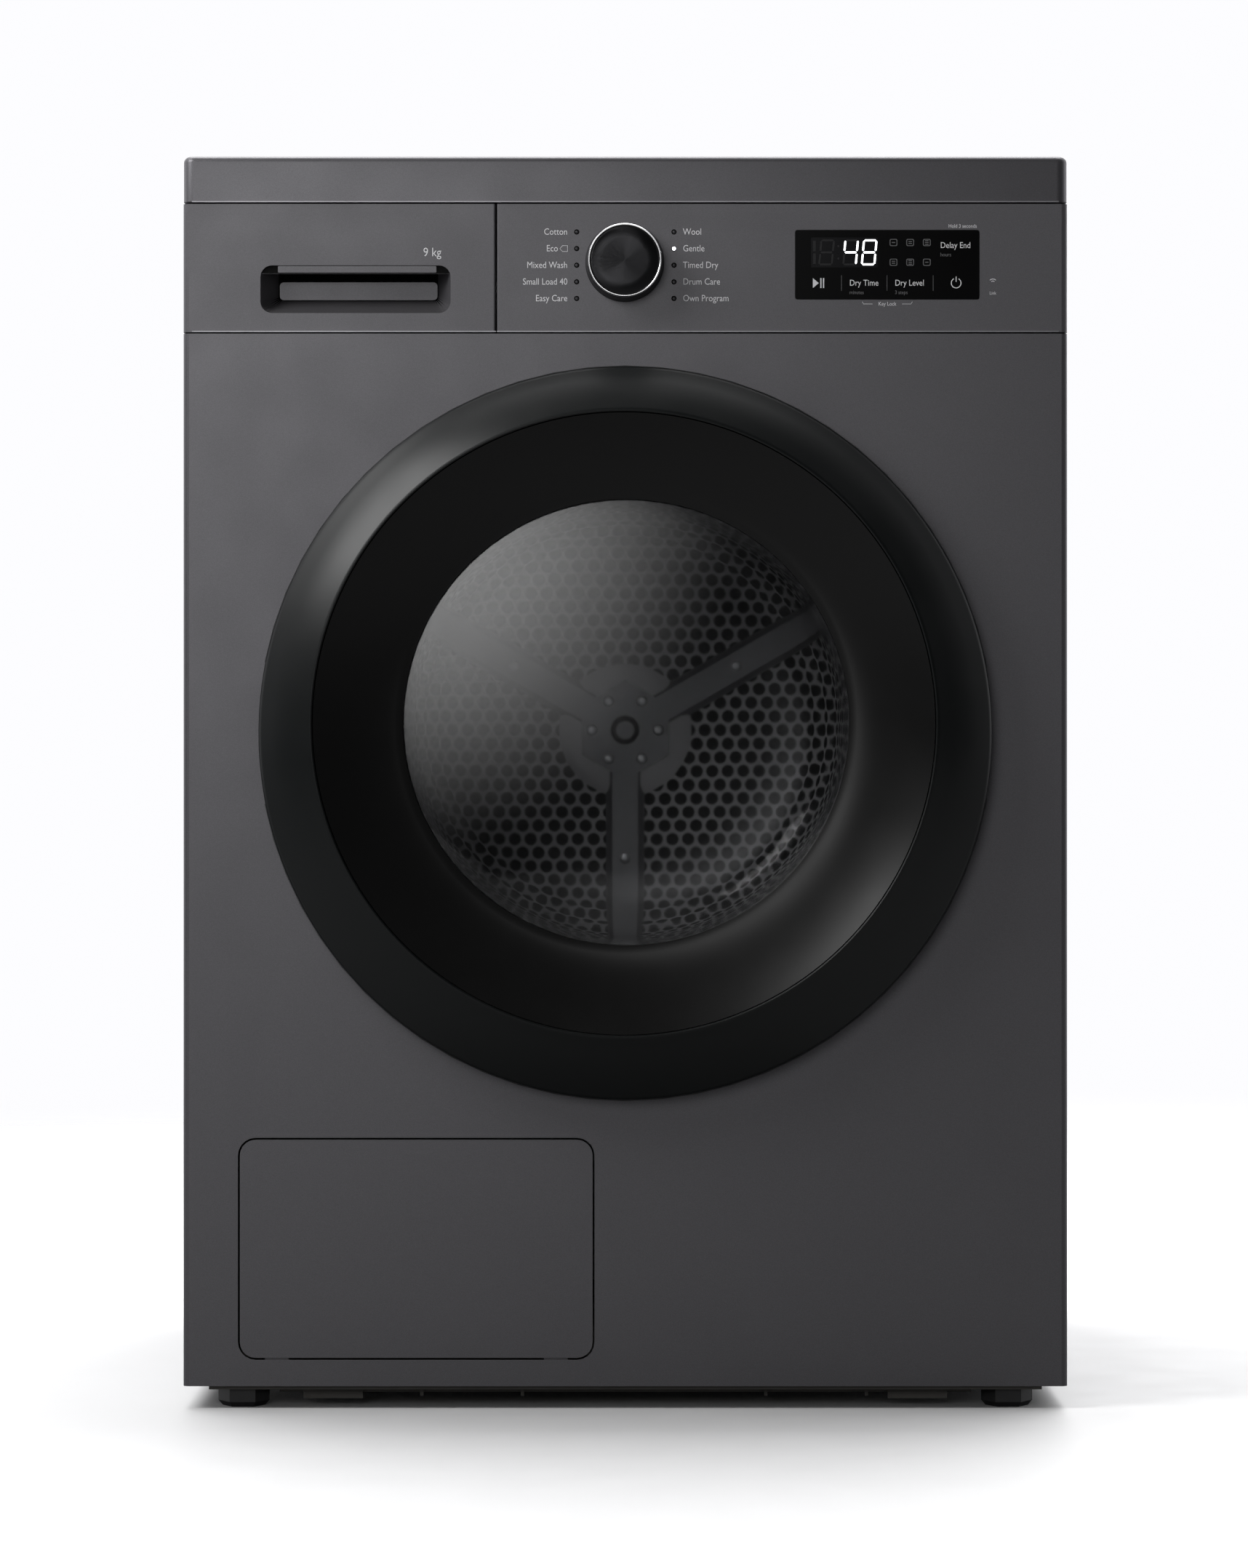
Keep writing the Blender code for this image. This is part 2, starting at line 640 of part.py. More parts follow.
def exchanger_cover(m):
    left, right = DUCT_LEFT - 0.004, DUCT_RIGHT + 0.004
    outline = rounded(left, right, 0.0165, DUCT_TOP + 0.004, 0.008, 4)
    back = DUCT_FRONT - GAP
    piece = solid("exchanger_cover", prism(outline, "y", back - 0.005, back), m["dark_plastic"])
    step = rounded(left + 0.03, right - 0.03, 0.050, DUCT_TOP - 0.030, 0.01, 4)
    cut(piece, prism(step, "y", back - 0.01, back - 0.003))
    posts = [disc(0.004, back - 0.0135, back - 0.002, x, LEVER_Z, 14) for x in LEVER_XS]
    return join(piece, together(*posts))


LEVER_XS = (-0.248, -0.0535)
LEVER_Z = 0.128


def lock_lever(name, x, m):
    back = DUCT_FRONT - GAP - 0.005 - GAP
    handle = slab((x - 0.0045, back - 0.008, LEVER_Z - 0.044), (x + 0.0045, back, LEVER_Z))
    piece = solid(name, handle, m["tank_plastic"], (x, back - 0.004, LEVER_Z))
    join(piece, disc(0.0095, back - 0.0085, back, x, LEVER_Z, 24))
    return cut(piece, disc(0.0044, back - 0.02, back + 0.01, x, LEVER_Z, 14))


def compressor(m):
    profile = [
        (0, 0.0185),
        (0.052, 0.0185),
        (0.060, 0.026),
        (0.060, 0.100),
        (0.0615, 0.102),
        (0.0615, 0.106),
        (0.060, 0.108),
        (0.060, 0.158),
        (0.053, 0.176),
        (0.036, 0.186),
        (0, 0.190),
    ]
    piece = solid("compressor", upright(profile, 0.150, 0.150, 28), m["dark_plastic"])
    feet = [slab((0.083, 0.083, 0.0162), (0.217, 0.217, 0.0195))]
    return join(piece, *feet)


def refrigerant_pipe(m):
    points = [
        (0.0845, 0.150, 0.120),
        (0.060, 0.150, 0.145),
        (0.020, 0.130, 0.150),
        (-0.005, 0.080, 0.120),
        (-0.010, 0.030, 0.080),
        (-0.008, -0.060, 0.060),
        (-0.008, -0.180, 0.060),
        (-0.008, -0.225, 0.080),
        (-0.008, -0.225, 0.130),
    ]
    return solid("refrigerant_pipe", tube(points, 0.005, 8, 3), m["copper"])


def drive_motor(m):
    piece = solid("drive_motor", disc(0.045, -0.110, -0.012, MOTOR_X, MOTOR_Z, 40), m["galvanised"])
    join(piece, slab((MOTOR_X - 0.032, -0.100, 0.0162), (MOTOR_X + 0.032, -0.022, 0.085)))
    return cut(piece, disc(0.0045, -0.040, 0.0, MOTOR_X, MOTOR_Z, 14))


def motor_pulley(m):
    profile = [
        (0, -0.032),
        (0.004, -0.032),
        (0.004, 0.001),
        (0.013, 0.001),
        (0.013, 0.003),
        (PULLEY_R, 0.0040),
        (PULLEY_R, 0.0160),
        (0.013, 0.0170),
        (0.013, 0.019),
        (0, 0.019),
    ]
    shape = turned(profile, MOTOR_X, MOTOR_Z, 20, closed=False)
    return solid("motor_pulley", shape, m["galvanised"], (MOTOR_X, 0.010, MOTOR_Z))


def idler_pulley(m):
    profile = [(0.0044, 0.002), (IDLER_R, 0.002), (IDLER_R, 0.018), (0.0044, 0.018)]
    return solid("idler_pulley", turned(profile, IDLER_X, IDLER_Z, 28), m["dark_plastic"], (IDLER_X, 0.010, IDLER_Z))


def idler_arm(m):
    along = Vector((IDLER_X - IDLER_PIVOT_X, IDLER_Z - IDLER_PIVOT_Z)).normalized()
    lean = math.degrees(math.atan2(along.y, along.x))
    outline = arc(IDLER_X, IDLER_Z, 0.009, lean - 90, lean + 90, 6)
    outline += arc(IDLER_PIVOT_X, IDLER_PIVOT_Z, 0.012, lean + 90, lean + 270, 8)
    piece = solid("idler_arm", prism(outline, "y", 0.0185, 0.0225), m["galvanised"])
    foot = slab((IDLER_PIVOT_X - 0.010, 0.020, 0.0162), (IDLER_PIVOT_X + 0.010, 0.040, IDLER_PIVOT_Z + 0.004))
    return join(piece, disc(0.004, 0.0005, 0.0205, IDLER_X, IDLER_Z, 14), foot)


def belt_route():
    """Stations on the middle of the belt as (x, z, direction), round the drum, idler and pulley."""
    half = BELT_THICK / 2 + GAP
    wheels = [
        (Vector((0, DRUM_Z)), DRUM_R + half, 1, 72),
        (Vector((IDLER_X, IDLER_Z)), IDLER_R + half, -1, 5),
        (Vector((MOTOR_X, MOTOR_Z)), PULLEY_R + half, 1, 12),
    ]
    leaving = []
    for (a, ra, sa, _), (b, rb, sb, _) in zip(wheels, wheels[1:] + wheels[:1]):
        between = b - a
        slope = math.atan2(between.y, between.x)
        leaving.append(slope - math.asin((sb * rb - sa * ra) / between.length))
    stations = []
    for i, (centre, radius, sense, steps) in enumerate(wheels):
        start, end = leaving[i - 1], leaving[i]
        turn = (end - start) * sense % (2 * math.pi) * sense
        for k in range(steps + 1):
            heading = start + turn * k / steps
            left = Vector((-math.sin(heading), math.cos(heading)))
            stations.append((centre - sense * radius * left, left))
    return stations


def drive_belt(m):
    shape = bmesh.new()
    rows = []
    for point, left in belt_route():
        inner, outer = point + left * BELT_THICK / 2, point - left * BELT_THICK / 2
        corners = [(inner, BELT_Y0), (outer, BELT_Y0), (outer, BELT_Y1), (inner, BELT_Y1)]
        rows.append([shape.verts.new((p.x, y, p.y)) for p, y in corners])
    for a, b in zip(rows, rows[1:] + rows[:1]):
        for k in range(4):
            n = (k + 1) % 4
            shape.faces.new((a[k], a[n], b[n], b[k]))
    return solid("drive_belt", shape, m["rubber"])


def fan_motor(m):
    front = BLOWER_BACK_Y + 0.006 + GAP
    profile = [(0, front), (0.034, front), (0.036, front + 0.003), (0.036, 0.205), (0.030, 0.212), (0, 0.212)]
    piece = solid("fan_motor", turned(profile, BLOWER_X, BLOWER_Z, 24, closed=False), m["galvanised"])
    return cut(piece, disc(0.0045, front - 0.01, 0.190, BLOWER_X, BLOWER_Z, 14))


def blower_wheel(m):
    vanes = 15
    outline = []
    for k in range(vanes):
        start = 360 * k / vanes
        outline += arc(BLOWER_X, BLOWER_Z, 0.057, start, start + 4, 1)
        outline += arc(BLOWER_X, BLOWER_Z, 0.034, start + 12, start + 17, 1)
    piece = solid(
        "blower_wheel",
        prism(outline, "y", BLOWER_FRONT_Y, BLOWER_BACK_Y - 0.004),
        m["dark_plastic"],
        (BLOWER_X, (BLOWER_FRONT_Y + BLOWER_BACK_Y) / 2, BLOWER_Z),
    )
    join(
        piece,
        disc(0.059, BLOWER_BACK_Y - 0.006, BLOWER_BACK_Y - 0.003, BLOWER_X, BLOWER_Z, 40),
        disc(0.004, BLOWER_BACK_Y - 0.010, 0.180, BLOWER_X, BLOWER_Z, 14),
    )
    return cut(piece, disc(0.026, BLOWER_FRONT_Y - 0.01, BLOWER_BACK_Y - 0.012, BLOWER_X, BLOWER_Z, 28))


def condensate_pump(m):
    profile = [(0, 0.0162), (0.034, 0.0162), (0.034, 0.040), (0.026, 0.046), (0.026, 0.080), (0.020, 0.086), (0, 0.086)]
    piece = solid("condensate_pump", upright(profile, 0.205, -0.215, 20), m["dark_plastic"])
    return join(piece, disc(0.0055, -0.262, -0.215, 0.205, 0.030, 14))


def latch_catch(m):
    low = (LATCH_X - 0.012, INSIDE_Y + GAP, DOOR_Z - 0.022)
    high = (LATCH_X + 0.012, INSIDE_Y + 0.034, DOOR_Z + 0.022)
    piece = solid("latch_catch", slab(low, high), m["dark_plastic"])
    hollow = slab(
        (LATCH_X - 0.0065, INSIDE_Y - 0.01, DOOR_Z - 0.013), (LATCH_X + 0.0065, INSIDE_Y + 0.030, DOOR_Z + 0.013)
    )
    return cut(piece, hollow)


def hinge_bracket(m):
    plate = slab((0.192, FRONT_Y - 0.0023, DOOR_Z - 0.033), (0.229, FRONT_Y - GAP, DOOR_Z + 0.033))
    piece = solid("hinge_bracket", plate, m["galvanised"])
    lug = [
        (0.2120, FRONT_Y - 0.0010),
        (0.2285, FRONT_Y - 0.0010),
        (HINGE_X + 0.0030, HINGE_Y + 0.0030),
        (HINGE_X - 0.0025, HINGE_Y - 0.0035),
    ]
    parts, bores = [], []
    for side in (-1, 1):
        low, high = sorted((DOOR_Z + side * KNUCKLE_LOW, DOOR_Z + side * KNUCKLE_HIGH))
        join(piece, prism(lug, "z", low, high))
        parts.append(rod(KNUCKLE_R, low, high, HINGE_X, HINGE_Y, 18))
        bores.append(rod(HINGE_PIN_R + 0.0004, low - 0.001, high + 0.001, HINGE_X, HINGE_Y, 12))
    join(piece, together(*parts))
    return cut(piece, together(*bores))


def cord_gland(m):
    inside, outside = REAR_Y - 0.010, REAR_Y + 0.0085
    profile = [
        (0.0048, inside),
        (0.0088, inside),
        (0.0090, REAR_Y + GAP),
        (0.0150, REAR_Y + GAP),
        (0.0150, REAR_Y + 0.0030),
        (0.0090, REAR_Y + 0.0040),
        (0.0075, outside),
        (0.0048, outside),
    ]
    return solid("cord_gland", turned(profile, 0.255, 0.075, 20), m["dark_plastic"])


# ---------------------------------------------------------------- door
HINGE = (HINGE_X, HINGE_Y, DOOR_Z)


def door_frame(m):
    window = (0.0005, WINDOW_Z)
    stations = [
        (0.1640, FRAME_BACK_Y, *window),
        (FRAME_R, FRAME_BACK_Y, 0, DOOR_Z),
        (FRAME_R, FRAME_FRONT_Y, 0, DOOR_Z),
        (0.1700, FRAME_FRONT_Y, *window),
        (0.1680, FRAME_FRONT_Y - 0.0100, *window),
        (0.1640, FRAME_FRONT_Y - 0.0100, *window),
    ]
    piece = solid("door_frame", rings(stations, DOOR_STEPS), m["dark_plastic"], HINGE)
    return cut(
        piece,
        slab((0.2035, -0.33, DOOR_Z - 0.0335), (0.260, -0.29, DOOR_Z + 0.0335)),
        slab((0.2425, -0.33, DOOR_Z - 0.0440), (0.260, -0.29, DOOR_Z + 0.0440)),
        slab((-0.260, -0.33, DOOR_Z - POCKET_HALF), (POCKET_X, -0.29, DOOR_Z + POCKET_HALF)),
    )


def door_ring(m):
    edge, crest = (0, DOOR_Z), (-0.0009, CREST_Z)
    back = FRAME_FRONT_Y - GAP
    stations = [
        (DOOR_R, back, *edge),
        (DOOR_R, RING_EDGE_Y + 0.0012, *edge),
        (DOOR_R - 0.0004, RING_EDGE_Y + 0.0003, *edge),
        (DOOR_R - 0.0014, RING_EDGE_Y - 0.0004, *edge),
        (CREST_R + 0.0012, CREST_Y + 0.0005, *crest),
        (CREST_R, CREST_Y, *crest),
        (CREST_R - 0.0010, CREST_Y + 0.0004, *crest),
        (CREST_R - 0.0016, CREST_Y + 0.0014, *crest),
        (CREST_R - 0.0016, CREST_Y + 0.0050, *crest),
        (DOOR_R - 0.0040, RING_EDGE_Y + 0.0030, *edge),
        (DOOR_R - 0.0040, back, *edge),
    ]
    piece = solid("door_ring", rings(stations, DOOR_STEPS), m["gloss_black"], HINGE)
    return cut(
        piece,
        slab((0.2035, RING_EDGE_Y + 0.0023, DOOR_Z - 0.0335), (0.260, -0.29, DOOR_Z + 0.0335)),
        slab((-0.260, RING_EDGE_Y + 0.0030, DOOR_Z - POCKET_HALF), (POCKET_X, -0.29, DOOR_Z + POCKET_HALF)),
    )


def between(a, b, t):
    return a + (b - a) * t


def door_bezel(m):
    crest, window = (-0.0009, CREST_Z), (0.0005, WINDOW_Z)
    outer_r, inner_r = CREST_R - 0.0020, 0.1513
    outer_y, inner_y = CREST_Y + 0.0012, -0.3212
    stations = []
    for k in range(5):
        t = k / 4
        y = between(outer_y, inner_y, 1 - (1 - t) ** 1.45)
        middle = (between(crest[0], window[0], t), between(crest[1], window[1], t))
        stations.append((between(outer_r, inner_r, t), y, *middle))
    stations.append((0.1503, inner_y + 0.0010, *window))
    stations.append((0.1503, -0.3182, *window))
    for k in range(4):
        t = 1 - k / 3 * 0.96
        y = between(outer_y, inner_y, 1 - (1 - t) ** 1.45) + 0.0026
        middle = (between(crest[0], window[0], t), between(crest[1], window[1], t))
        stations.append((between(outer_r, inner_r, t) + 0.0020 * (1 - k / 3), y, *middle))
    return solid("door_bezel", rings(stations, DOOR_STEPS), m["gloss_black"], HINGE)


def door_window(m):
    profile = [
        (0, -0.3225),
        (0.060, -0.3217),
        (0.110, -0.3199),
        (0.148, -0.3178),
        (0.153, -0.3172),
        (0.153, -0.3142),
        (0.110, -0.3159),
        (0.060, -0.3177),
        (0, -0.3185),
    ]
    return solid("door_window", turned(profile, 0.0005, WINDOW_Z, 40, closed=False), m["glass"], HINGE)


def door_bowl(m):
    end = BOWL_END_Y
    profile = [
        (0, end - 0.0038),
        (0.100, end - 0.0046),
        (0.128, end - 0.0080),
        (0.1415, end - 0.0170),
        (0.1475, end - 0.0340),
        (0.1560, end - 0.0700),
        (0.1632, end - 0.0700),
        (0.1632, end - 0.0665),
        (0.1590, end - 0.0650),
        (0.1512, end - 0.0330),
        (0.1450, end - 0.0145),
        (0.130, end - 0.0040),
        (0.100, end - 0.0008),
        (0, end),
    ]
    return solid("door_bowl", turned(profile, 0.0005, WINDOW_Z, 40, closed=False), m["glass"], HINGE)


def door_gasket(m):
    back, front = FRONT_Y - GAP, FRAME_BACK_Y + GAP
    profile = [(0.1810, front), (0.1905, front), (0.1885, back), (0.1830, back)]
    return solid("door_gasket", turned(profile, 0, WINDOW_Z, 48), m["rubber"], HINGE)


def hinge_arm(m):
    low, high = DOOR_Z - KNUCKLE_LOW + GAP, DOOR_Z + KNUCKLE_LOW - GAP
    pin = 0.0305
    profile = [
        (0, DOOR_Z - pin),
        (HINGE_PIN_R, DOOR_Z - pin),
        (HINGE_PIN_R, low),
        (KNUCKLE_R, low),
        (KNUCKLE_R, high),
        (HINGE_PIN_R, high),
        (HINGE_PIN_R, DOOR_Z + pin),
        (0, DOOR_Z + pin),
    ]
    piece = solid("hinge_arm", upright(profile, HINGE_X, HINGE_Y, 18), m["galvanised"], HINGE)
    return join(piece, slab((0.174, -0.3105, low), (HINGE_X - 0.001, FRAME_FRONT_Y - GAP, high)))


def latch_hook(m):
    front, tip = FRAME_BACK_Y + GAP, -0.2760
    outline = [
        (front, DOOR_Z - 0.010),
        (front + 0.0018, DOOR_Z - 0.010),
        (front + 0.0018, DOOR_Z - 0.004),
        (tip, DOOR_Z - 0.004),
        (tip + 0.003, DOOR_Z + 0.002),
        (tip - 0.002, DOOR_Z + 0.009),
        (tip - 0.007, DOOR_Z + 0.008),
        (tip - 0.006, DOOR_Z + 0.003),
        (front + 0.0018, DOOR_Z + 0.003),
        (front + 0.0018, DOOR_Z + 0.010),
        (front, DOOR_Z + 0.010),
    ]
    return solid("latch_hook", prism(outline, "x", LATCH_X - 0.0035, LATCH_X + 0.0035), m["galvanised"], HINGE)


# ---------------------------------------------------------------- drum
DRUM_PIVOT = (0, 0.0, DRUM_Z)
LIFTERS = 3


def drum_shell(m):
    inner, lip = DRUM_R - DRUM_SHEET, DRUM_LIP_R - DRUM_SHEET
    profile = [
        (0.2440, DRUM_FRONT_Y),
        (DRUM_LIP_R, DRUM_FRONT_Y),
        (DRUM_LIP_R, -0.1885),
        (DRUM_R, -0.1865),
        (DRUM_R, DRUM_REAR_Y),
        (inner, DRUM_REAR_Y),
        (inner, -0.1853),
        (lip, -0.1873),
        (lip, DRUM_FRONT_Y + DRUM_SHEET),
        (0.2440, DRUM_FRONT_Y + DRUM_SHEET),
    ]
    return solid("drum_shell", turned(profile, 0, DRUM_Z, DRUM_STEPS), m["stainless"], DRUM_PIVOT)


def drum_back(m):
    rim = DRUM_R - DRUM_SHEET - 0.0005
    profile = [
        (0, 0.2250),
        (0.044, 0.2250),
        (0.052, 0.2290),
        (0.246, 0.2290),
        (0.256, 0.2345),
        (rim, 0.2345),
        (rim, DRUM_REAR_Y),
        (rim - 0.0014, DRUM_REAR_Y),
        (rim - 0.0014, 0.2359),
        (0.2555, 0.2359),
        (0.2455, 0.2304),
        (0.0515, 0.2304),
        (0.0435, 0.2264),
        (0.0200, 0.2264),
        (0.0200, 0.2380),
        (SHAFT_R, 0.2380),
        (SHAFT_R, 0.3180),
        (0, 0.3180),
    ]
    piece = solid("drum_back", turned(profile, 0, DRUM_Z, DRUM_STEPS, closed=False), m["stainless"], DRUM_PIVOT)
    for angle in (30, 150, 270):
        spoke = prism([(0.030, -0.013), (0.246, -0.012), (0.246, 0.012), (0.030, 0.013)], "y", 0.2238, 0.2296)
        bmesh.ops.bevel(
            spoke,
            geom=[e for e in spoke.edges if all(v.co.y < 0.2239 for v in e.verts)],
            offset=0.003,
            segments=2,
            profile=0.5,
            affect="EDGES",
        )
        place = Matrix.Translation((0, 0, DRUM_Z)) @ Matrix.Rotation(math.radians(-angle), 4, "Y")
        bmesh.ops.transform(spoke, matrix=place, verts=spoke.verts)
        join(piece, spoke)
    hexagon = arc(0, DRUM_Z, 0.038, 0, 300, 5)
    join(piece, prism(hexagon, "y", 0.2222, 0.2256))
    return cut(piece, disc(0.008, 0.210, 0.2236, 0, DRUM_Z, 20))


def polar(radius, angle):
    return radius * math.cos(math.radians(angle)), radius * math.sin(math.radians(angle))


def lifter(name, angle, m):
    base_r, tip_r, half_base, half_tip = 0.2778, 0.2235, 8.6, 3.2
    outline = arc(0, 0, base_r, -half_base, half_base, 6)
    outline += [polar(0.245, half_base * 0.62), polar(tip_r + 0.003, half_tip)]
    outline += arc(0, 0, tip_r, half_tip * 0.5, -half_tip * 0.5, 3)
    outline += [polar(tip_r + 0.003, -half_tip), polar(0.245, -half_base * 0.62)]
    turn = math.radians(angle)
    spin = [(u * math.cos(turn) - v * math.sin(turn), u * math.sin(turn) + v * math.cos(turn)) for u, v in outline]
    shape = prism([(u, DRUM_Z + v) for u, v in spin], "y", -0.166, 0.222)
    return solid(name, shape, m["grey_plastic"], DRUM_PIVOT)


def roller(name, x, m):
    f, b, r = ROLLER_FRONT_Y, ROLLER_BACK_Y, ROLLER_R
    profile = [(0.0044, f), (r - 0.001, f), (r, f + 0.001), (r, b - 0.001), (r - 0.001, b), (0.0044, b)]
    return solid(name, turned(profile, x, ROLLER_Z, 24), m["rubber"], (x, (f + b) / 2, ROLLER_Z))


# ---------------------------------------------------------------- tank drawer, knob, flap, filter, feet
def tank_front(m):
    piece = fascia("tank_front", -HALF, CORNER, DRAWER_SPLIT_X - SEAM / 2, 0.0012, m)
    back = -0.2745
    cup = slab((GRIP_LEFT - 0.003, FRONT_Y + 0.001, GRIP_LOW - 0.003), (GRIP_RIGHT + 0.003, back + 0.003, 0.783))
    links = [
        slab((-0.290, FRONT_Y + 0.001, 0.748), (-0.262, TANK_FRONT - GAP, 0.796)),
        slab((-0.113, FRONT_Y + 0.001, 0.748), (-0.099, TANK_FRONT - GAP, 0.796)),
    ]
    join(piece, cup, together(*links))
    mouth = rounded(GRIP_LEFT, GRIP_RIGHT, GRIP_LOW, GRIP_HIGH, GRIP_CORNER, 5)
    end = rounded(-0.2365, -0.1280, 0.7540, GRIP_HIGH + 0.0030, 0.0030, 5)
    cut(piece, loft(mouth, FRONT_Y - 0.0001, end, back, "y"))
    bar = slab((GRIP_LEFT - 0.002, FRONT_Y + 0.0012, 0.7703), (GRIP_RIGHT + 0.002, FRONT_Y + 0.0050, 0.7790))
    return join(piece, bar)


def tank_body(m):
    outline = rounded(TANK_LEFT, TANK_RIGHT, TANK_LOW, TANK_HIGH, 0.006, 3)
    w = TANK_WALL
    inner = rounded(TANK_LEFT + w, TANK_RIGHT - w, TANK_LOW + w, TANK_HIGH - w, 0.004, 3)
    piece = solid("tank_body", prism(outline, "y", TANK_FRONT, TANK_BACK), m["tank_plastic"])
    cut(piece, prism(inner, "y", TANK_FRONT + w, TANK_BACK - w))
    return cut(piece, rod(0.020, TANK_HIGH - 0.01, TANK_HIGH + 0.01, -0.194, 0.150, 24))


def knob_body(m):
    face = FRONT_Y - KNOB_DEPTH
    profile = [
        (0, face + 0.0006),
        (0.0226, face + 0.0006),
        (0.0232, face + 0.0012),
        (0.0232, face + 0.0036),
        (0.0250, face + 0.0036),
        (0.0254, face + 0.0050),
        (KNOB_R, FRONT_Y - 0.0016),
        (KNOB_R - 0.0008, FRONT_Y - 0.0006),
        (0.0045, FRONT_Y - 0.0006),
        (0.0045, FRONT_Y + 0.0120),
        (0, FRONT_Y + 0.0120),
    ]
    pivot = (KNOB_X, FRONT_Y, KNOB_Z)
    return solid("knob_body", turned(profile, KNOB_X, KNOB_Z, 36, closed=False), m["gloss_black"], pivot)


def knob_ring(m):
    face = FRONT_Y - KNOB_DEPTH
    profile = [
        (0.0235, face + 0.0005),
        (0.0238, face),
        (0.0244, face),
        (0.0248, face + 0.0006),
        (0.0250, face + 0.0032),
        (0.0235, face + 0.0032),
    ]
    return solid("knob_ring", turned(profile, KNOB_X, KNOB_Z, 36), m["stainless"], (KNOB_X, FRONT_Y, KNOB_Z))


def access_flap(m):
    outline = rounded(FLAP_LEFT, FLAP_RIGHT, FLAP_LOW, FLAP_HIGH, FLAP_CORNER, 5)
    back = FRONT_Y + 0.0022
    middle = (FLAP_LEFT + FLAP_RIGHT) / 2
    pivot = (middle, FLAP_AXIS_Y, FLAP_AXIS_Z)
    piece = solid("access_flap", prism(outline, "y", FRONT_Y, back), m["graphite"], pivot)
    parts = []
    for x in (FLAP_LEFT + 0.025, FLAP_RIGHT - 0.025):
        # A hook that holds the flap behind the edge of the panel.
        parts.append(slab((x - 0.008, INSIDE_Y + 0.0004, FLAP_LOW - 0.003), (x + 0.008, back + 0.0008, 0.0385)))
    parts.append(slab((middle - 0.005, back - 0.001, 0.171), (middle + 0.005, back + 0.009, 0.175)))
    for x in (FLAP_LEFT + 0.045, middle, FLAP_RIGHT - 0.045):
        parts.append(slab((x - 0.001, back - 0.001, 0.050), (x + 0.001, back + 0.003, 0.165)))
    return join(piece, together(*parts))


def lint_filter(m):
    half = math.degrees(math.asin(FILTER_HALF / (TUNNEL_R - GAP)))
    top = arc(0, WINDOW_Z, TUNNEL_R - GAP, 270 - half, 270 + half, 14)
    outline = [(-FILTER_HALF + 0.006, FILTER_LOW), *top, (FILTER_HALF - 0.006, FILTER_LOW)]
    shape = prism(outline, "y", FILTER_FRONT_Y, FILTER_BACK_Y)
    piece = solid("lint_filter", shape, m["mesh"], (0, (FILTER_FRONT_Y + FILTER_BACK_Y) / 2, WINDOW_Z - TUNNEL_R))
    inner_x = FILTER_HALF - 0.009
    cavity = [(-inner_x, FILTER_LOW + 0.004), (inner_x, FILTER_LOW + 0.004), (inner_x, 0.40), (-inner_x, 0.40)]
    return cut(piece, prism(cavity, "y", FILTER_FRONT_Y + 0.0018, FILTER_BACK_Y - 0.0018))


def feet_places():
    return [(x, y) for y in (FOOT_FRONT_Y, FOOT_REAR_Y) for x in (-FOOT_X, FOOT_X)]


def foot(name, x, y, m):
    profile = [(0, 0), (FOOT_R - 0.003, 0), (FOOT_R, 0.0035), (FOOT_R, FOOT_TALL), (0, FOOT_TALL)]
    shape = upright(profile, x, y, 6)
    piece = solid(name, shape, m["dark_plastic"], (x, y, 0))
    return join(piece, rod(STUD_R, FOOT_TALL - 0.002, 0.055, x, y, 12))


def build():
    for obj in list(bpy.data.objects):
        bpy.data.objects.remove(obj, do_unlink=True)
    m = palette()
    base_tray(m)
    front_panel(m)
    side_panel("side_panel_left", -1, m)
    side_panel("side_panel_right", 1, m)
    for make in (rear_panel, rear_duct_cover, worktop, control_panel, display_window):
        make(m)
    indicator_lights("indicator_lights_left", -LED_X, m)
    indicator_lights("indicator_lights_right", LED_X, m)
    for make in (front_crossbar, front_bulkhead, drum_front_seal, rear_bearing, tank_channel, air_duct):
        make(m)
    heat_exchanger("evaporator", -0.206, -0.085, m)
    heat_exchanger("condenser", -0.070, 0.070, m)
    for make in (exchanger_cover, compressor, refrigerant_pipe, drive_motor, fan_motor, drive_belt, idler_arm):
        make(m)
    for make in (condensate_pump, latch_catch, hinge_bracket, cord_gland):
        make(m)
    for make in (door_frame, door_ring, door_bezel, door_window, door_bowl, door_gasket, hinge_arm, latch_hook):
        make(m)
    drum_shell(m)
    drum_back(m)
    for k in range(LIFTERS):
        lifter(f"lifter_{k + 1}", 90 + 360 / LIFTERS * k, m)
    for make in (motor_pulley, idler_pulley, blower_wheel):
        make(m)
    roller("roller_left", -ROLLER_X, m)
    roller("roller_right", ROLLER_X, m)
    for make in (tank_front, tank_body, knob_body, knob_ring, access_flap, lint_filter):
        make(m)
    lock_lever("lock_lever_left", LEVER_XS[0], m)
    lock_lever("lock_lever_right", LEVER_XS[1], m)
    names = ("foot_front_left", "foot_front_right", "foot_rear_left", "foot_rear_right")
    for name, (x, y) in zip(names, feet_places()):
        foot(name, x, y, m)


build()
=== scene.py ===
"""The looks of a front-loading clothes dryer: finishes, fine pieces, floor, lights and camera.

Metres and row frame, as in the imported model: +Z up, the door faces -Y.
"""

import math

import bmesh
import bpy
from bpy.props import FloatProperty, FloatVectorProperty, IntProperty, PointerProperty
from mathutils import Matrix, Vector


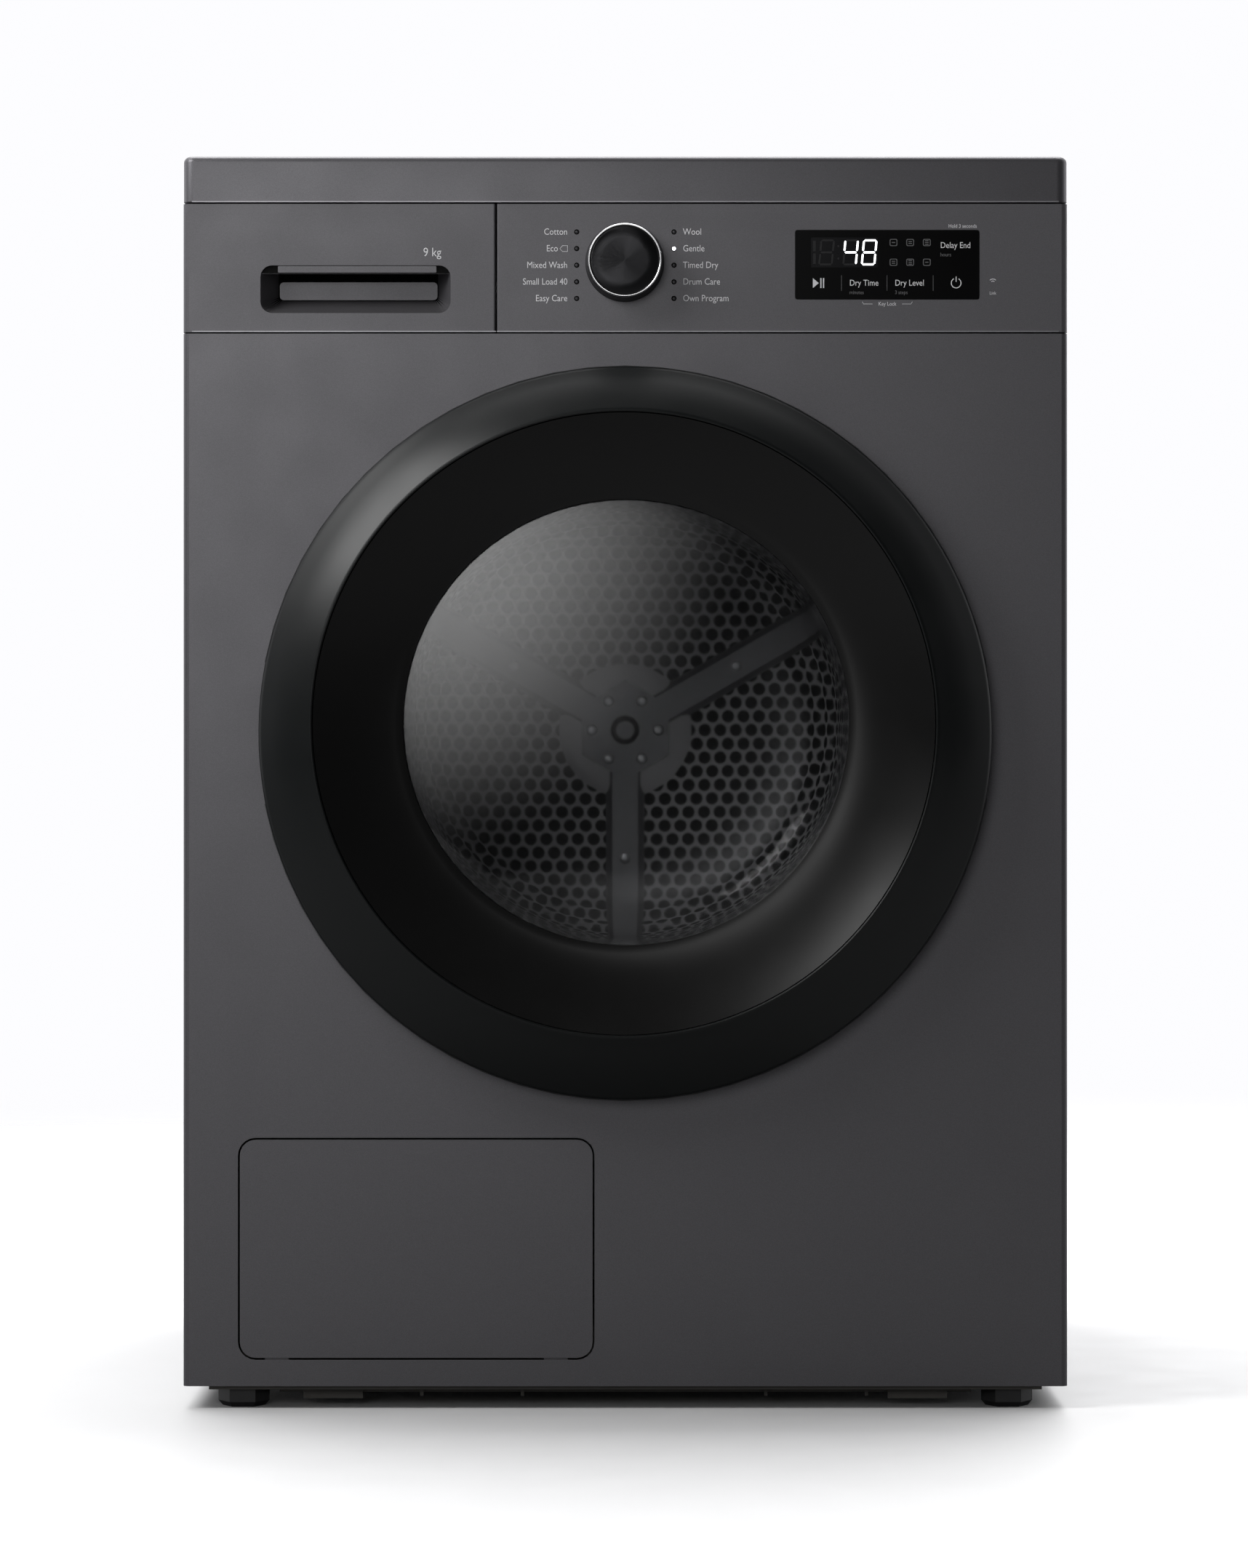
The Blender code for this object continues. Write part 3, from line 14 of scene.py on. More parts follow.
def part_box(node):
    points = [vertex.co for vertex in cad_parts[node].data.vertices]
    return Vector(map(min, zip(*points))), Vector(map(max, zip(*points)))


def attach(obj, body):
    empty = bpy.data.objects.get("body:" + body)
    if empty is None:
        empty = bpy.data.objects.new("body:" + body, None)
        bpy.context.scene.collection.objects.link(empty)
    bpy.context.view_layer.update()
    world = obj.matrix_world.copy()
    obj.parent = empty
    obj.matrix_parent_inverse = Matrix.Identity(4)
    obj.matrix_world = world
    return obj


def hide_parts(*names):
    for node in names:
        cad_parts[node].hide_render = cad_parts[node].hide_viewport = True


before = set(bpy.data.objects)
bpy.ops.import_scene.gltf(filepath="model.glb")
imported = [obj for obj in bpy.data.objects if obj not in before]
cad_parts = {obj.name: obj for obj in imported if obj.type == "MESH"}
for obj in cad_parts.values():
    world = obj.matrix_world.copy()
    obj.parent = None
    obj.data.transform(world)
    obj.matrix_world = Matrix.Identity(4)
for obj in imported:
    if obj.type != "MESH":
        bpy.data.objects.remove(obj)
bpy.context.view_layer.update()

bl_info = {
    "name": "Clothes Dryer Looks",
    "version": (1, 0, 0),
    "blender": (4, 5, 0),
    "location": "3D View > Sidebar > Dryer",
    "description": "Dresses the packed clothes dryer and sets up its stage",
    "category": "Object",
}

CAMERA_LENS, CAMERA_SENSOR = 121.85, 36.0
CAMERA_X, CAMERA_Z = -0.0009, 0.424
SPOKE_ANGLES = (30, 150, 270)
HUB_SCREW_RING = 0.0255
WINDOW_BENDING, BOWL_BENDING = 1.48, 1.22

# ---------------------------------------------------------------- places taken from the frame
FRONT_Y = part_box("front_panel")[0].y
REAR_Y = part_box("rear_panel")[1].y
CREST_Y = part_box("door_ring")[0].y
FASCIA_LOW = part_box("control_panel")[0].z
SEAM_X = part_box("control_panel")[0].x
DRUM_LOW, DRUM_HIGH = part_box("drum_shell")
DRUM_Z = (DRUM_LOW.z + DRUM_HIGH.z) / 2
DRUM_R = (DRUM_HIGH.z - DRUM_LOW.z) / 2
FRAME_LOW, FRAME_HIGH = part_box("door_frame")
DOOR_Z = (FRAME_LOW.z + FRAME_HIGH.z) / 2
WINDOW_LOW, WINDOW_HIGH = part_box("door_window")
WINDOW_X = (WINDOW_LOW.x + WINDOW_HIGH.x) / 2
WINDOW_Z = (WINDOW_LOW.z + WINDOW_HIGH.z) / 2
BOWL_BACK_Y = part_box("door_bowl")[1].y
KNOB_LOW, KNOB_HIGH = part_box("knob_body")
KNOB_X, KNOB_Z = (KNOB_LOW.x + KNOB_HIGH.x) / 2, (KNOB_LOW.z + KNOB_HIGH.z) / 2
KNOB_R = (KNOB_HIGH.x - KNOB_LOW.x) / 2
SCREEN_LOW, SCREEN_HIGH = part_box("display_window")
FLAP_LOW, FLAP_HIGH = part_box("access_flap")
LIGHTS_LOW, LIGHTS_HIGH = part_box("indicator_lights_right")
LED_X = (LIGHTS_LOW.x + LIGHTS_HIGH.x) / 2
LED_Z = (LIGHTS_LOW.z + LIGHTS_HIGH.z) / 2
LED_STEP = 0.01128
FILTER_LOW, FILTER_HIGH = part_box("lint_filter")
# The crest is the door's foremost circle, where the ring meets the cone.
CREST_X, CREST_Z = -0.0009, 0.4645
CREST_R = 0.2105
RING_EDGE_Y = FRONT_Y - 0.0228
RING_R = (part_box("door_ring")[1].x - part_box("door_ring")[0].x) / 2


# ---------------------------------------------------------------- shapes
def arc(cx, cy, radius, start, end, steps):
    """Points along a circle from one angle to another, in degrees."""
    turns = [math.radians(start + (end - start) * i / steps) for i in range(steps + 1)]
    return [(cx + radius * math.cos(t), cy + radius * math.sin(t)) for t in turns]


def rounded(left, right, low, high, radius, steps=4):
    """The outline of a rectangle with round corners."""
    return (
        arc(right - radius, low + radius, radius, -90, 0, steps)
        + arc(right - radius, high - radius, radius, 0, 90, steps)
        + arc(left + radius, high - radius, radius, 90, 180, steps)
        + arc(left + radius, low + radius, radius, 180, 270, steps)
    )


AXES = {
    "x": lambda u, v, w: (w, u, v),
    "y": lambda u, v, w: (u, w, v),
    "z": lambda u, v, w: (u, v, w),
}


def skin(shape, rows, capped=True):
    """Joins closed rows of points in order. Capped, it also closes the two ends."""
    for a, b in zip(rows, rows[1:]):
        for i in range(len(a)):
            j = (i + 1) % len(a)
            shape.faces.new((a[i], a[j], b[j], b[i]))
    if capped:
        shape.faces.new(rows[0])
        shape.faces.new(rows[-1])
    return shape


def loft(outlines, axis, capped=True):
    """Skin over outlines with equal counts of points. Each is (outline, place along the axis)."""
    shape = bmesh.new()
    rows = []
    for outline, along in outlines:
        rows.append([shape.verts.new(AXES[axis](u, v, along)) for u, v in outline])
    return skin(shape, rows, capped)


def prism(outline, axis, start, end, edge=0.0, segments=2):
    """An outline extruded along an axis, with its edges rounded by edge."""
    shape = loft([(outline, start), (outline, end)], axis)
    if edge:
        rims = [e for e in shape.edges if len(e.link_faces) == 2 and e.calc_face_angle(0) > 0.9]
        bmesh.ops.bevel(shape, geom=rims, offset=edge, segments=segments, profile=0.5, affect="EDGES")
    return shape


def flat(outline, y):
    """A thin raised shape on a face that looks along -Y."""
    return prism(outline, "y", y - 0.0001, y)


def slab(low, high, edge=0.0, segments=2):
    """A box between two corners with rounded edges."""
    outline = [(low[0], low[2]), (high[0], low[2]), (high[0], high[2]), (low[0], high[2])]
    return prism(outline, "y", low[1], high[1], edge, segments)


def rings(stations, steps, closed=True):
    """Circles facing along Y, joined in order. A station is (radius, y, x middle, z middle)."""
    shape = bmesh.new()
    rows = []
    for radius, y, x_mid, z_mid in stations:
        if radius == 0:
            rows.append([shape.verts.new((x_mid, y, z_mid))])
            continue
        circle = arc(x_mid, z_mid, radius, 0, 360 - 360 / steps, steps - 1)
        rows.append([shape.verts.new((x, y, z)) for x, z in circle])
    pairs = list(zip(rows, rows[1:]))
    if closed:
        pairs.append((rows[-1], rows[0]))
    for a, b in pairs:
        for i in range(steps):
            j = (i + 1) % steps
            corners = [a[i % len(a)], a[j % len(a)], b[j % len(b)], b[i % len(b)]]
            shape.faces.new(list(dict.fromkeys(corners)))
    return shape


def turned(profile, x_mid, z_mid, steps, closed=True):
    """A profile of (radius, y) points turned round an axis along Y."""
    return rings([(r, y, x_mid, z_mid) for r, y in profile], steps, closed)


def moved(shape, matrix):
    bmesh.ops.transform(shape, matrix=matrix, verts=shape.verts)
    return shape


def together(shapes):
    """One mesh from several."""
    whole = bmesh.new()
    for shape in shapes:
        mesh = bpy.data.meshes.new("piece")
        shape.to_mesh(mesh)
        shape.free()
        whole.from_mesh(mesh)
        bpy.data.meshes.remove(mesh)
    return whole


def screw_head(radius, height):
    """A domed screw head with a cross recess. Its axis is Z and its seat is at zero."""
    steps = 20
    shape = bmesh.new()
    rows = []
    for share, lift in ((1.0, 0.0), (1.0, 0.35), (0.86, 0.75), (0.55, 0.97)):
        points = arc(0, 0, radius * share, 0, 360 - 360 / steps, steps - 1)
        rows.append([shape.verts.new((x, y, height * lift)) for x, y in points])
    cross = []
    for k in range(steps):
        reach = 0.42 if k % 5 in (0, 1) else 0.16
        angle = 2 * math.pi * (k - 0.5) / steps
        cross.append((radius * reach * math.cos(angle), radius * reach * math.sin(angle)))
    rows.append([shape.verts.new((x, y, height)) for x, y in cross])
    rows.append([shape.verts.new((x * 0.9, y * 0.9, height * 0.3)) for x, y in cross])
    return skin(shape, rows)


def pointing(place, normal):
    """The matrix that stands a Z-up shape on a place, along a normal."""
    turn = Vector(normal).to_track_quat("Z", "Y").to_matrix().to_4x4()
    return Matrix.Translation(place) @ turn


def screws(places, normal, radius=0.0040, height=0.0019):
    return together([moved(screw_head(radius, height), pointing(p, normal)) for p in places])


def tube(points, radius, sides=12):
    """A round bar through points, with flat ends."""
    shape = bmesh.new()
    side = None
    rows = []
    path = [Vector(p) for p in points]
    for i, point in enumerate(path):
        along = (path[min(i + 1, len(path) - 1)] - path[max(i - 1, 0)]).normalized()
        side = (side or along.orthogonal()) - along * (side or along.orthogonal()).dot(along)
        side.normalize()
        other = along.cross(side)
        row = []
        for k in range(sides):
            turn = 2 * math.pi * k / sides
            row.append(shape.verts.new(point + radius * (side * math.cos(turn) + other * math.sin(turn))))
        rows.append(row)
    return skin(shape, rows)


def mesh_of(name, shape):
    """A mesh from a shape, with its faces turned outward."""
    bmesh.ops.recalc_face_normals(shape, faces=shape.faces)
    mesh = bpy.data.meshes.new(name)
    shape.to_mesh(mesh)
    shape.free()
    return mesh


def in_scene(name, data):
    """A new object in the scene."""
    made = bpy.data.objects.new(name, data)
    bpy.context.scene.collection.objects.link(made)
    return made


def lettering(words, x, z, height, align, y, lift=0.00006, narrow=0.86):
    """Plain print on a face that looks along -Y. height is that of a capital letter."""
    curve = bpy.data.curves.new("words", "FONT")
    curve.body = words
    curve.align_x = align
    curve.align_y = "CENTER"
    curve.size = height / 0.70
    curve.extrude = lift
    curve.resolution_u = 3
    holder = in_scene("words", curve)
    bpy.context.view_layer.update()
    mesh = bpy.data.meshes.new_from_object(holder)
    shape = bmesh.new()
    shape.from_mesh(mesh)
    bpy.data.objects.remove(holder)
    bpy.data.curves.remove(curve)
    bpy.data.meshes.remove(mesh)
    place = Matrix.Translation((x, y, z)) @ Matrix.Rotation(math.radians(90), 4, "X")
    return moved(shape, place @ Matrix.Diagonal((narrow, 1.0, 1.0, 1.0)))


def new_finish(name):
    """An empty material, named apart from those that came with the model."""
    material = bpy.data.materials.new(f"Dryer {name}")
    material.use_nodes = True
    return material


def made_finish(name):
    return bpy.data.materials[f"Dryer {name}"]


def piece(name, shape, material, body, replaces=(), smooth=32):
    """Puts a shape in the scene on its body, with its finish and the CAD nodes it stands for."""
    mesh = mesh_of(name, shape)
    mesh.materials.append(made_finish(material))
    mesh.shade_smooth()
    mesh.set_sharp_from_angle(angle=math.radians(smooth))
    made = in_scene(name, mesh)
    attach(made, body)
    if replaces:
        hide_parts(*replaces)
    return made


def carve(target, shape):
    """Cuts a shape out of a piece and keeps the result as its mesh."""
    cutter = in_scene("cutter", mesh_of("cutter", shape))
    change = target.modifiers.new("carve", "BOOLEAN")
    change.solver = "EXACT"
    change.object = cutter
    bpy.context.view_layer.update()
    result = bpy.data.meshes.new_from_object(target.evaluated_get(bpy.context.evaluated_depsgraph_get()))
    target.modifiers.clear()
    target.data = result
    result.set_sharp_from_angle(angle=math.radians(32))
    bpy.data.objects.remove(cutter)


# ---------------------------------------------------------------- shader node groups
def add(tree, kind, options=None, **sockets):
    """A new node with its options, and with values or links on its sockets. i7 means socket number 7."""
    node = tree.nodes.new("ShaderNode" + kind)
    for name, value in (options or {}).items():
        setattr(node, name, value)
    for name, value in sockets.items():
        numbered = name[0] == "i" and name[1:].isdigit()
        socket = node.inputs[int(name[1:])] if numbered else node.inputs[name.replace("_", " ")]
        if isinstance(value, bpy.types.NodeSocket):
            tree.links.new(value, socket)
        else:
            socket.default_value = value
    return node


def new_group(name, inputs, output):
    """An empty node group with float inputs and one float output."""
    tree = bpy.data.node_groups.new(name, "ShaderNodeTree")
    for label, default in inputs:
        socket = tree.interface.new_socket(name=label, in_out="INPUT", socket_type="NodeSocketFloat")
        socket.default_value = default
    tree.interface.new_socket(name=output, in_out="OUTPUT", socket_type="NodeSocketFloat")
    return tree, tree.nodes.new("NodeGroupInput"), tree.nodes.new("NodeGroupOutput")


def math_node(tree, operation, a, b=0.0, clamp=False):
    return add(tree, "Math", {"operation": operation, "use_clamp": clamp}, i0=a, i1=b).outputs[0]


def here(tree):
    return add(tree, "TexCoord").outputs["Object"]


def drift_group():
    """Slow variation round 1 across a surface, for colour and roughness."""
    tree, given, result = new_group("Surface Drift", [("Scale", 4.0), ("Spread", 0.1)], "Value")
    where = here(tree)
    broad = add(tree, "TexNoise", Vector=where, Scale=given.outputs["Scale"], Detail=4.0).outputs["Fac"]
    centred = math_node(tree, "SUBTRACT", broad, 0.5)
    spread = math_node(tree, "MULTIPLY", centred, given.outputs["Spread"])
    tree.links.new(math_node(tree, "ADD", spread, 1.0), result.inputs[0])


def grain_group():
    """Fine moulded or sprayed texture as a height."""
    tree, given, result = new_group("Fine Grain", [("Scale", 900.0)], "Height")
    where = here(tree)
    fine = add(tree, "TexNoise", Vector=where, Scale=given.outputs["Scale"], Detail=2.0).outputs["Fac"]
    larger = math_node(tree, "MULTIPLY", given.outputs["Scale"], 0.16)
    waves = add(tree, "TexNoise", Vector=where, Scale=larger, Detail=1.0).outputs["Fac"]
    mixed = math_node(tree, "ADD", math_node(tree, "MULTIPLY", waves, 0.5), fine)
    tree.links.new(mixed, result.inputs[0])


def dust_group():
    """A mask of settled dust on faces that look up."""
    tree, given, result = new_group("Settled Dust", [("Amount", 0.1)], "Mask")
    normal = add(tree, "NewGeometry").outputs["Normal"]
    up = add(tree, "SeparateXYZ", Vector=normal).outputs["Z"]
    facing = math_node(tree, "POWER", math_node(tree, "MAXIMUM", up, 0.0), 2.0)
    where = here(tree)
    cloud = add(tree, "TexNoise", Vector=where, Scale=38.0, Detail=5.0).outputs["Fac"]
    specks = add(tree, "TexNoise", Vector=where, Scale=700.0, Detail=1.0).outputs["Fac"]
    pattern = math_node(tree, "MULTIPLY", cloud, specks)
    mask = math_node(tree, "MULTIPLY", math_node(tree, "MULTIPLY", pattern, facing), given.outputs["Amount"])
    tree.links.new(math_node(tree, "MULTIPLY", mask, 4.0, True), result.inputs[0])


def rub_group():
    """A mask of light wear along outward edges."""
    tree, given, result = new_group("Edge Rub", [("Amount", 0.3)], "Mask")
    bend = add(tree, "NewGeometry").outputs["Pointiness"]
    edge = add(tree, "MapRange", Value=bend, i1=0.53, i2=0.62, i3=0.0, i4=1.0).outputs[0]
    where = here(tree)
    broken = add(tree, "TexNoise", Vector=where, Scale=160.0, Detail=4.0).outputs["Fac"]
    worn = math_node(tree, "MULTIPLY", edge, broken)
    tree.links.new(math_node(tree, "MULTIPLY", worn, given.outputs["Amount"], True), result.inputs[0])


def brushed_group():
    """Fine lines as a height: straight along X at Round 0, fanning out from a middle at Round 1."""
    tree, given, result = new_group("Brushed Lines", [("Round", 0.0), ("X", 0.0), ("Z", 0.0)], "Height")
    where = add(tree, "SeparateXYZ", Vector=here(tree))
    x = math_node(tree, "SUBTRACT", where.outputs["X"], given.outputs["X"])
    z = math_node(tree, "SUBTRACT", where.outputs["Z"], given.outputs["Z"])
    angle = math_node(tree, "ARCTAN2", z, x)
    spokes = add(tree, "CombineXYZ", X=math_node(tree, "MULTIPLY", angle, 60.0), Y=0.0, Z=0.0).outputs[0]
    straight = add(
        tree,
        "CombineXYZ",
        X=math_node(tree, "MULTIPLY", where.outputs["X"], 25.0),
        Y=math_node(tree, "MULTIPLY", where.outputs["Y"], 25.0),
        Z=math_node(tree, "MULTIPLY", where.outputs["Z"], 2600.0),
    ).outputs[0]
    radial = add(tree, "TexNoise", Vector=spokes, Scale=1.0, Detail=3.0).outputs["Fac"]
    level = add(tree, "TexNoise", Vector=straight, Scale=1.0, Detail=3.0).outputs["Fac"]
    chosen = add(
        tree, "Mix", {"data_type": "FLOAT"}, i0=given.outputs["Round"], i2=level, i3=radial
    ).outputs[0]
    tree.links.new(chosen, result.inputs[0])


def use_group(tree, name, **inputs):
    node = tree.nodes.new("ShaderNodeGroup")
    node.node_tree = bpy.data.node_groups[name]
    for label, value in inputs.items():
        node.inputs[label].default_value = value
    return node.outputs[0]


def blend_colours(tree, kind, factor, a, b):
    options = {"data_type": "RGBA", "blend_type": kind}
    return add(tree, "Mix", options, i0=factor, i6=a, i7=b).outputs[2]


def finish(name, colour, roughness, metallic=0.0, coat=0.0, look=None):
    """A worked surface: slow drift of tone, fine grain, light edge wear and settled dust.

    look may give drift, grain, bump, dust, rub, rub_colour and specular, and lines for brushed metal.
    """
    usual = {"drift": 0.16, "grain": 900.0, "bump": 0.05, "dust": 0.10, "rub": 0.25, "specular": 0.5}
    look = {**usual, **(look or {})}
    material = new_finish(name)
    tree = material.node_tree
    shader = tree.nodes["Principled BSDF"]
    tone = use_group(tree, "Surface Drift", Scale=5.0, Spread=look["drift"])
    patch = use_group(tree, "Surface Drift", Scale=23.0, Spread=0.35)
    rub = use_group(tree, "Edge Rub", Amount=look["rub"])
    dust = use_group(tree, "Settled Dust", Amount=look["dust"])
    worn = look.get("rub_colour", tuple(min(1.0, c * 1.7 + 0.03) for c in colour))
    base = blend_colours(tree, "MULTIPLY", 1.0, (*colour, 1.0), tone)
    base = blend_colours(tree, "MIX", rub, base, (*worn, 1.0))
    base = blend_colours(tree, "MIX", dust, base, (0.33, 0.32, 0.30, 1.0))
    tree.links.new(base, shader.inputs["Base Color"])
    rough = math_node(tree, "MULTIPLY", patch, roughness)
    rough = math_node(tree, "ADD", rough, math_node(tree, "MULTIPLY", dust, 0.4), True)
    tree.links.new(rough, shader.inputs["Roughness"])
    shader.inputs["Metallic"].default_value = metallic
    shader.inputs["Coat Weight"].default_value = coat
    shader.inputs["Coat Roughness"].default_value = 0.06
    shader.inputs["Specular IOR Level"].default_value = look["specular"]
    if "lines" in look:
        x, z, round_lines = look["lines"]
        height = use_group(tree, "Brushed Lines", X=x, Z=z, Round=round_lines)
    else:
        height = use_group(tree, "Fine Grain", Scale=look["grain"])
    relief = add(tree, "Bump", Strength=look["bump"], Distance=0.0006, Height=height)
    tree.links.new(relief.outputs[0], shader.inputs["Normal"])
    return material


def flake_paint(name, colour, roughness, metallic):
    """Metallic lacquer: fine flakes under a clear coat."""
    look = {"drift": 0.05, "grain": 1500.0, "bump": 0.018, "dust": 0.05, "rub": 0.12}
    material = finish(name, colour, roughness, metallic, 0.12, look)
    tree = material.node_tree
    shader = tree.nodes["Principled BSDF"]
    shader.inputs["Coat Roughness"].default_value = 0.22
    where = here(tree)
    flake = add(tree, "TexVoronoi", Vector=where, Scale=3200.0).outputs["Color"]
    tilt = add(tree, "SeparateColor", Color=flake).outputs[0]
    spark = math_node(tree, "ADD", math_node(tree, "MULTIPLY", tilt, 0.24), 0.88)
    base = shader.inputs["Base Color"].links[0].from_socket
    tree.links.new(blend_colours(tree, "MULTIPLY", 1.0, base, spark), shader.inputs["Base Color"])
    return material


def clear_glass(name, tint, roughness, clouding, passing_tint, bending):
    """Glass that light passes through, with a faint film on it. bending is its index of refraction."""
    material = new_finish(name)
    tree = material.node_tree
    shader = tree.nodes["Principled BSDF"]
    film = use_group(tree, "Surface Drift", Scale=9.0, Spread=clouding)
    tree.links.new(blend_colours(tree, "MULTIPLY", 1.0, (*tint, 1.0), film), shader.inputs["Base Color"])
    smear = use_group(tree, "Surface Drift", Scale=31.0, Spread=0.8)
    tree.links.new(math_node(tree, "MULTIPLY", smear, roughness), shader.inputs["Roughness"])
    shader.inputs["Transmission Weight"].default_value = 1.0
    shader.inputs["IOR"].default_value = bending
    passing = add(tree, "BsdfTransparent", Color=(*passing_tint, 1.0))
    path = add(tree, "LightPath")
    open_rays = math_node(tree, "MAXIMUM", path.outputs["Is Shadow Ray"], path.outputs["Is Diffuse Ray"])
    both = add(tree, "MixShader", i0=open_rays, i1=shader.outputs[0], i2=passing.outputs[0])
    tree.links.new(both.outputs[0], tree.nodes["Material Output"].inputs["Surface"])
    return material


def lit(name, colour, strength):
    """A light guide that glows a little unevenly."""
    material = finish(name, colour, 0.4, look={"rub": 0.0, "dust": 0.0})
    tree = material.node_tree
    shader = tree.nodes["Principled BSDF"]
    uneven = use_group(tree, "Surface Drift", Scale=420.0, Spread=0.3)
    tree.links.new(
        blend_colours(tree, "MULTIPLY", 1.0, (*colour, 1.0), uneven), shader.inputs["Emission Color"]
    )
    shader.inputs["Emission Strength"].default_value = strength
    return material


def spun(name, amount):
    """Turns a finish into metal cut on a lathe, whose glints run out from its middle."""
    tree = made_finish(name).node_tree
    shader = tree.nodes["Principled BSDF"]
    shader.inputs["Anisotropic"].default_value = amount
    around = add(tree, "Tangent", {"direction_type": "RADIAL", "axis": "Y"})
    tree.links.new(around.outputs[0], shader.inputs["Tangent"])


def dimpled(material, around, along, strength):
    """Adds a drum's pressed pattern of shallow pillows to a finish."""
    tree = material.node_tree
    shader = tree.nodes["Principled BSDF"]
    where = add(tree, "SeparateXYZ", Vector=here(tree))
    x, z = where.outputs["X"], math_node(tree, "SUBTRACT", where.outputs["Z"], DRUM_Z)
    angle = math_node(tree, "MULTIPLY", math_node(tree, "ARCTAN2", z, x), around)
    depth = math_node(tree, "MULTIPLY", where.outputs["Y"], along)
    wave = math_node(tree, "MULTIPLY", math_node(tree, "SINE", angle), math_node(tree, "SINE", depth))
    pillow = math_node(tree, "ABSOLUTE", wave)
    finer = shader.inputs["Normal"].links[0].from_socket
    relief = add(tree, "Bump", Strength=strength, Distance=0.004, Height=pillow, Normal=finer)
    tree.links.new(relief.outputs[0], shader.inputs["Normal"])


# ---------------------------------------------------------------- what a user may change
class DryerSizes(bpy.types.PropertyGroup):
    """Sizes of the fine pieces."""

    door_steps: IntProperty(
        name="Door Steps", description="Flats round the door's circles", default=192, min=48
    )
    hole_pitch: FloatProperty(
        name="Hole Pitch",
        description="Distance between holes in the drum's back",
        default=0.0123,
        unit="LENGTH",
    )
    hole_diameter: FloatProperty(
        name="Hole Diameter", description="Holes in the drum's back", default=0.0100, unit="LENGTH"
    )
    label_height: FloatProperty(
        name="Label Height", description="Capital letters beside the lights", default=0.0044, unit="LENGTH"
    )
    camera_distance: FloatProperty(
        name="Camera Distance", description="From the front panel to the camera", default=3.6, unit="LENGTH"
    )


class DryerColours(bpy.types.PropertyGroup):
    """Colours of the main finishes."""

    graphite: FloatVectorProperty(
        name="Graphite", description="Cabinet lacquer", default=(0.118, 0.115, 0.124), subtype="COLOR"
    )
    black: FloatVectorProperty(
        name="Black", description="Gloss pieces", default=(0.003, 0.003, 0.0032), subtype="COLOR"
    )
    steel: FloatVectorProperty(name="Steel", description="Drum", default=(0.56, 0.56, 0.57), subtype="COLOR")
    print_ink: FloatVectorProperty(
        name="Print", description="Lettering", default=(0.80, 0.80, 0.82), subtype="COLOR"
    )
    floor: FloatVectorProperty(
        name="Floor", description="Stage floor", default=(0.86, 0.86, 0.86), subtype="COLOR"
    )


def sizes():
    return bpy.context.scene.dryer_sizes


def colours():
    return bpy.context.scene.dryer_colours


FEET = ("foot_front_left", "foot_front_right", "foot_rear_left", "foot_rear_right")
CAD_FINISHES = {
    "graphite": ["front_panel", "side_panel_left", "side_panel_right", "worktop", "access_flap"],
    "fascia": ["control_panel", "tank_front"],
    "galvanised": [
        "rear_panel", "rear_duct_cover", "front_crossbar", "rear_bearing", "drive_motor", "fan_motor",
        "idler_arm", "hinge_bracket", "hinge_arm", "latch_hook", "motor_pulley",
    ],
    "gloss_black": ["display_window"],
    "grey_plastic": ["front_bulkhead", "tank_channel", "air_duct", "lifter_1", "lifter_2", "lifter_3"],
    "rubber": ["drum_front_seal", "drive_belt", "door_gasket", "roller_left", "roller_right"],
    "fins": ["evaporator", "condenser"],
    "dark_plastic": [
        "exchanger_cover", "compressor", "condensate_pump", "latch_catch", "cord_gland", "door_frame",
        "idler_pulley", "blower_wheel", *FEET,
    ],
    "base_plastic": ["base_tray"],
    "copper": ["refrigerant_pipe"],
    "stainless": ["drum_shell"],
    "tank_plastic": ["tank_body"],
    "lever_plastic": ["lock_lever_left", "lock_lever_right"],
    "lens": ["indicator_lights_left", "indicator_lights_right"],
    "filter_grey": ["lint_filter"],
}


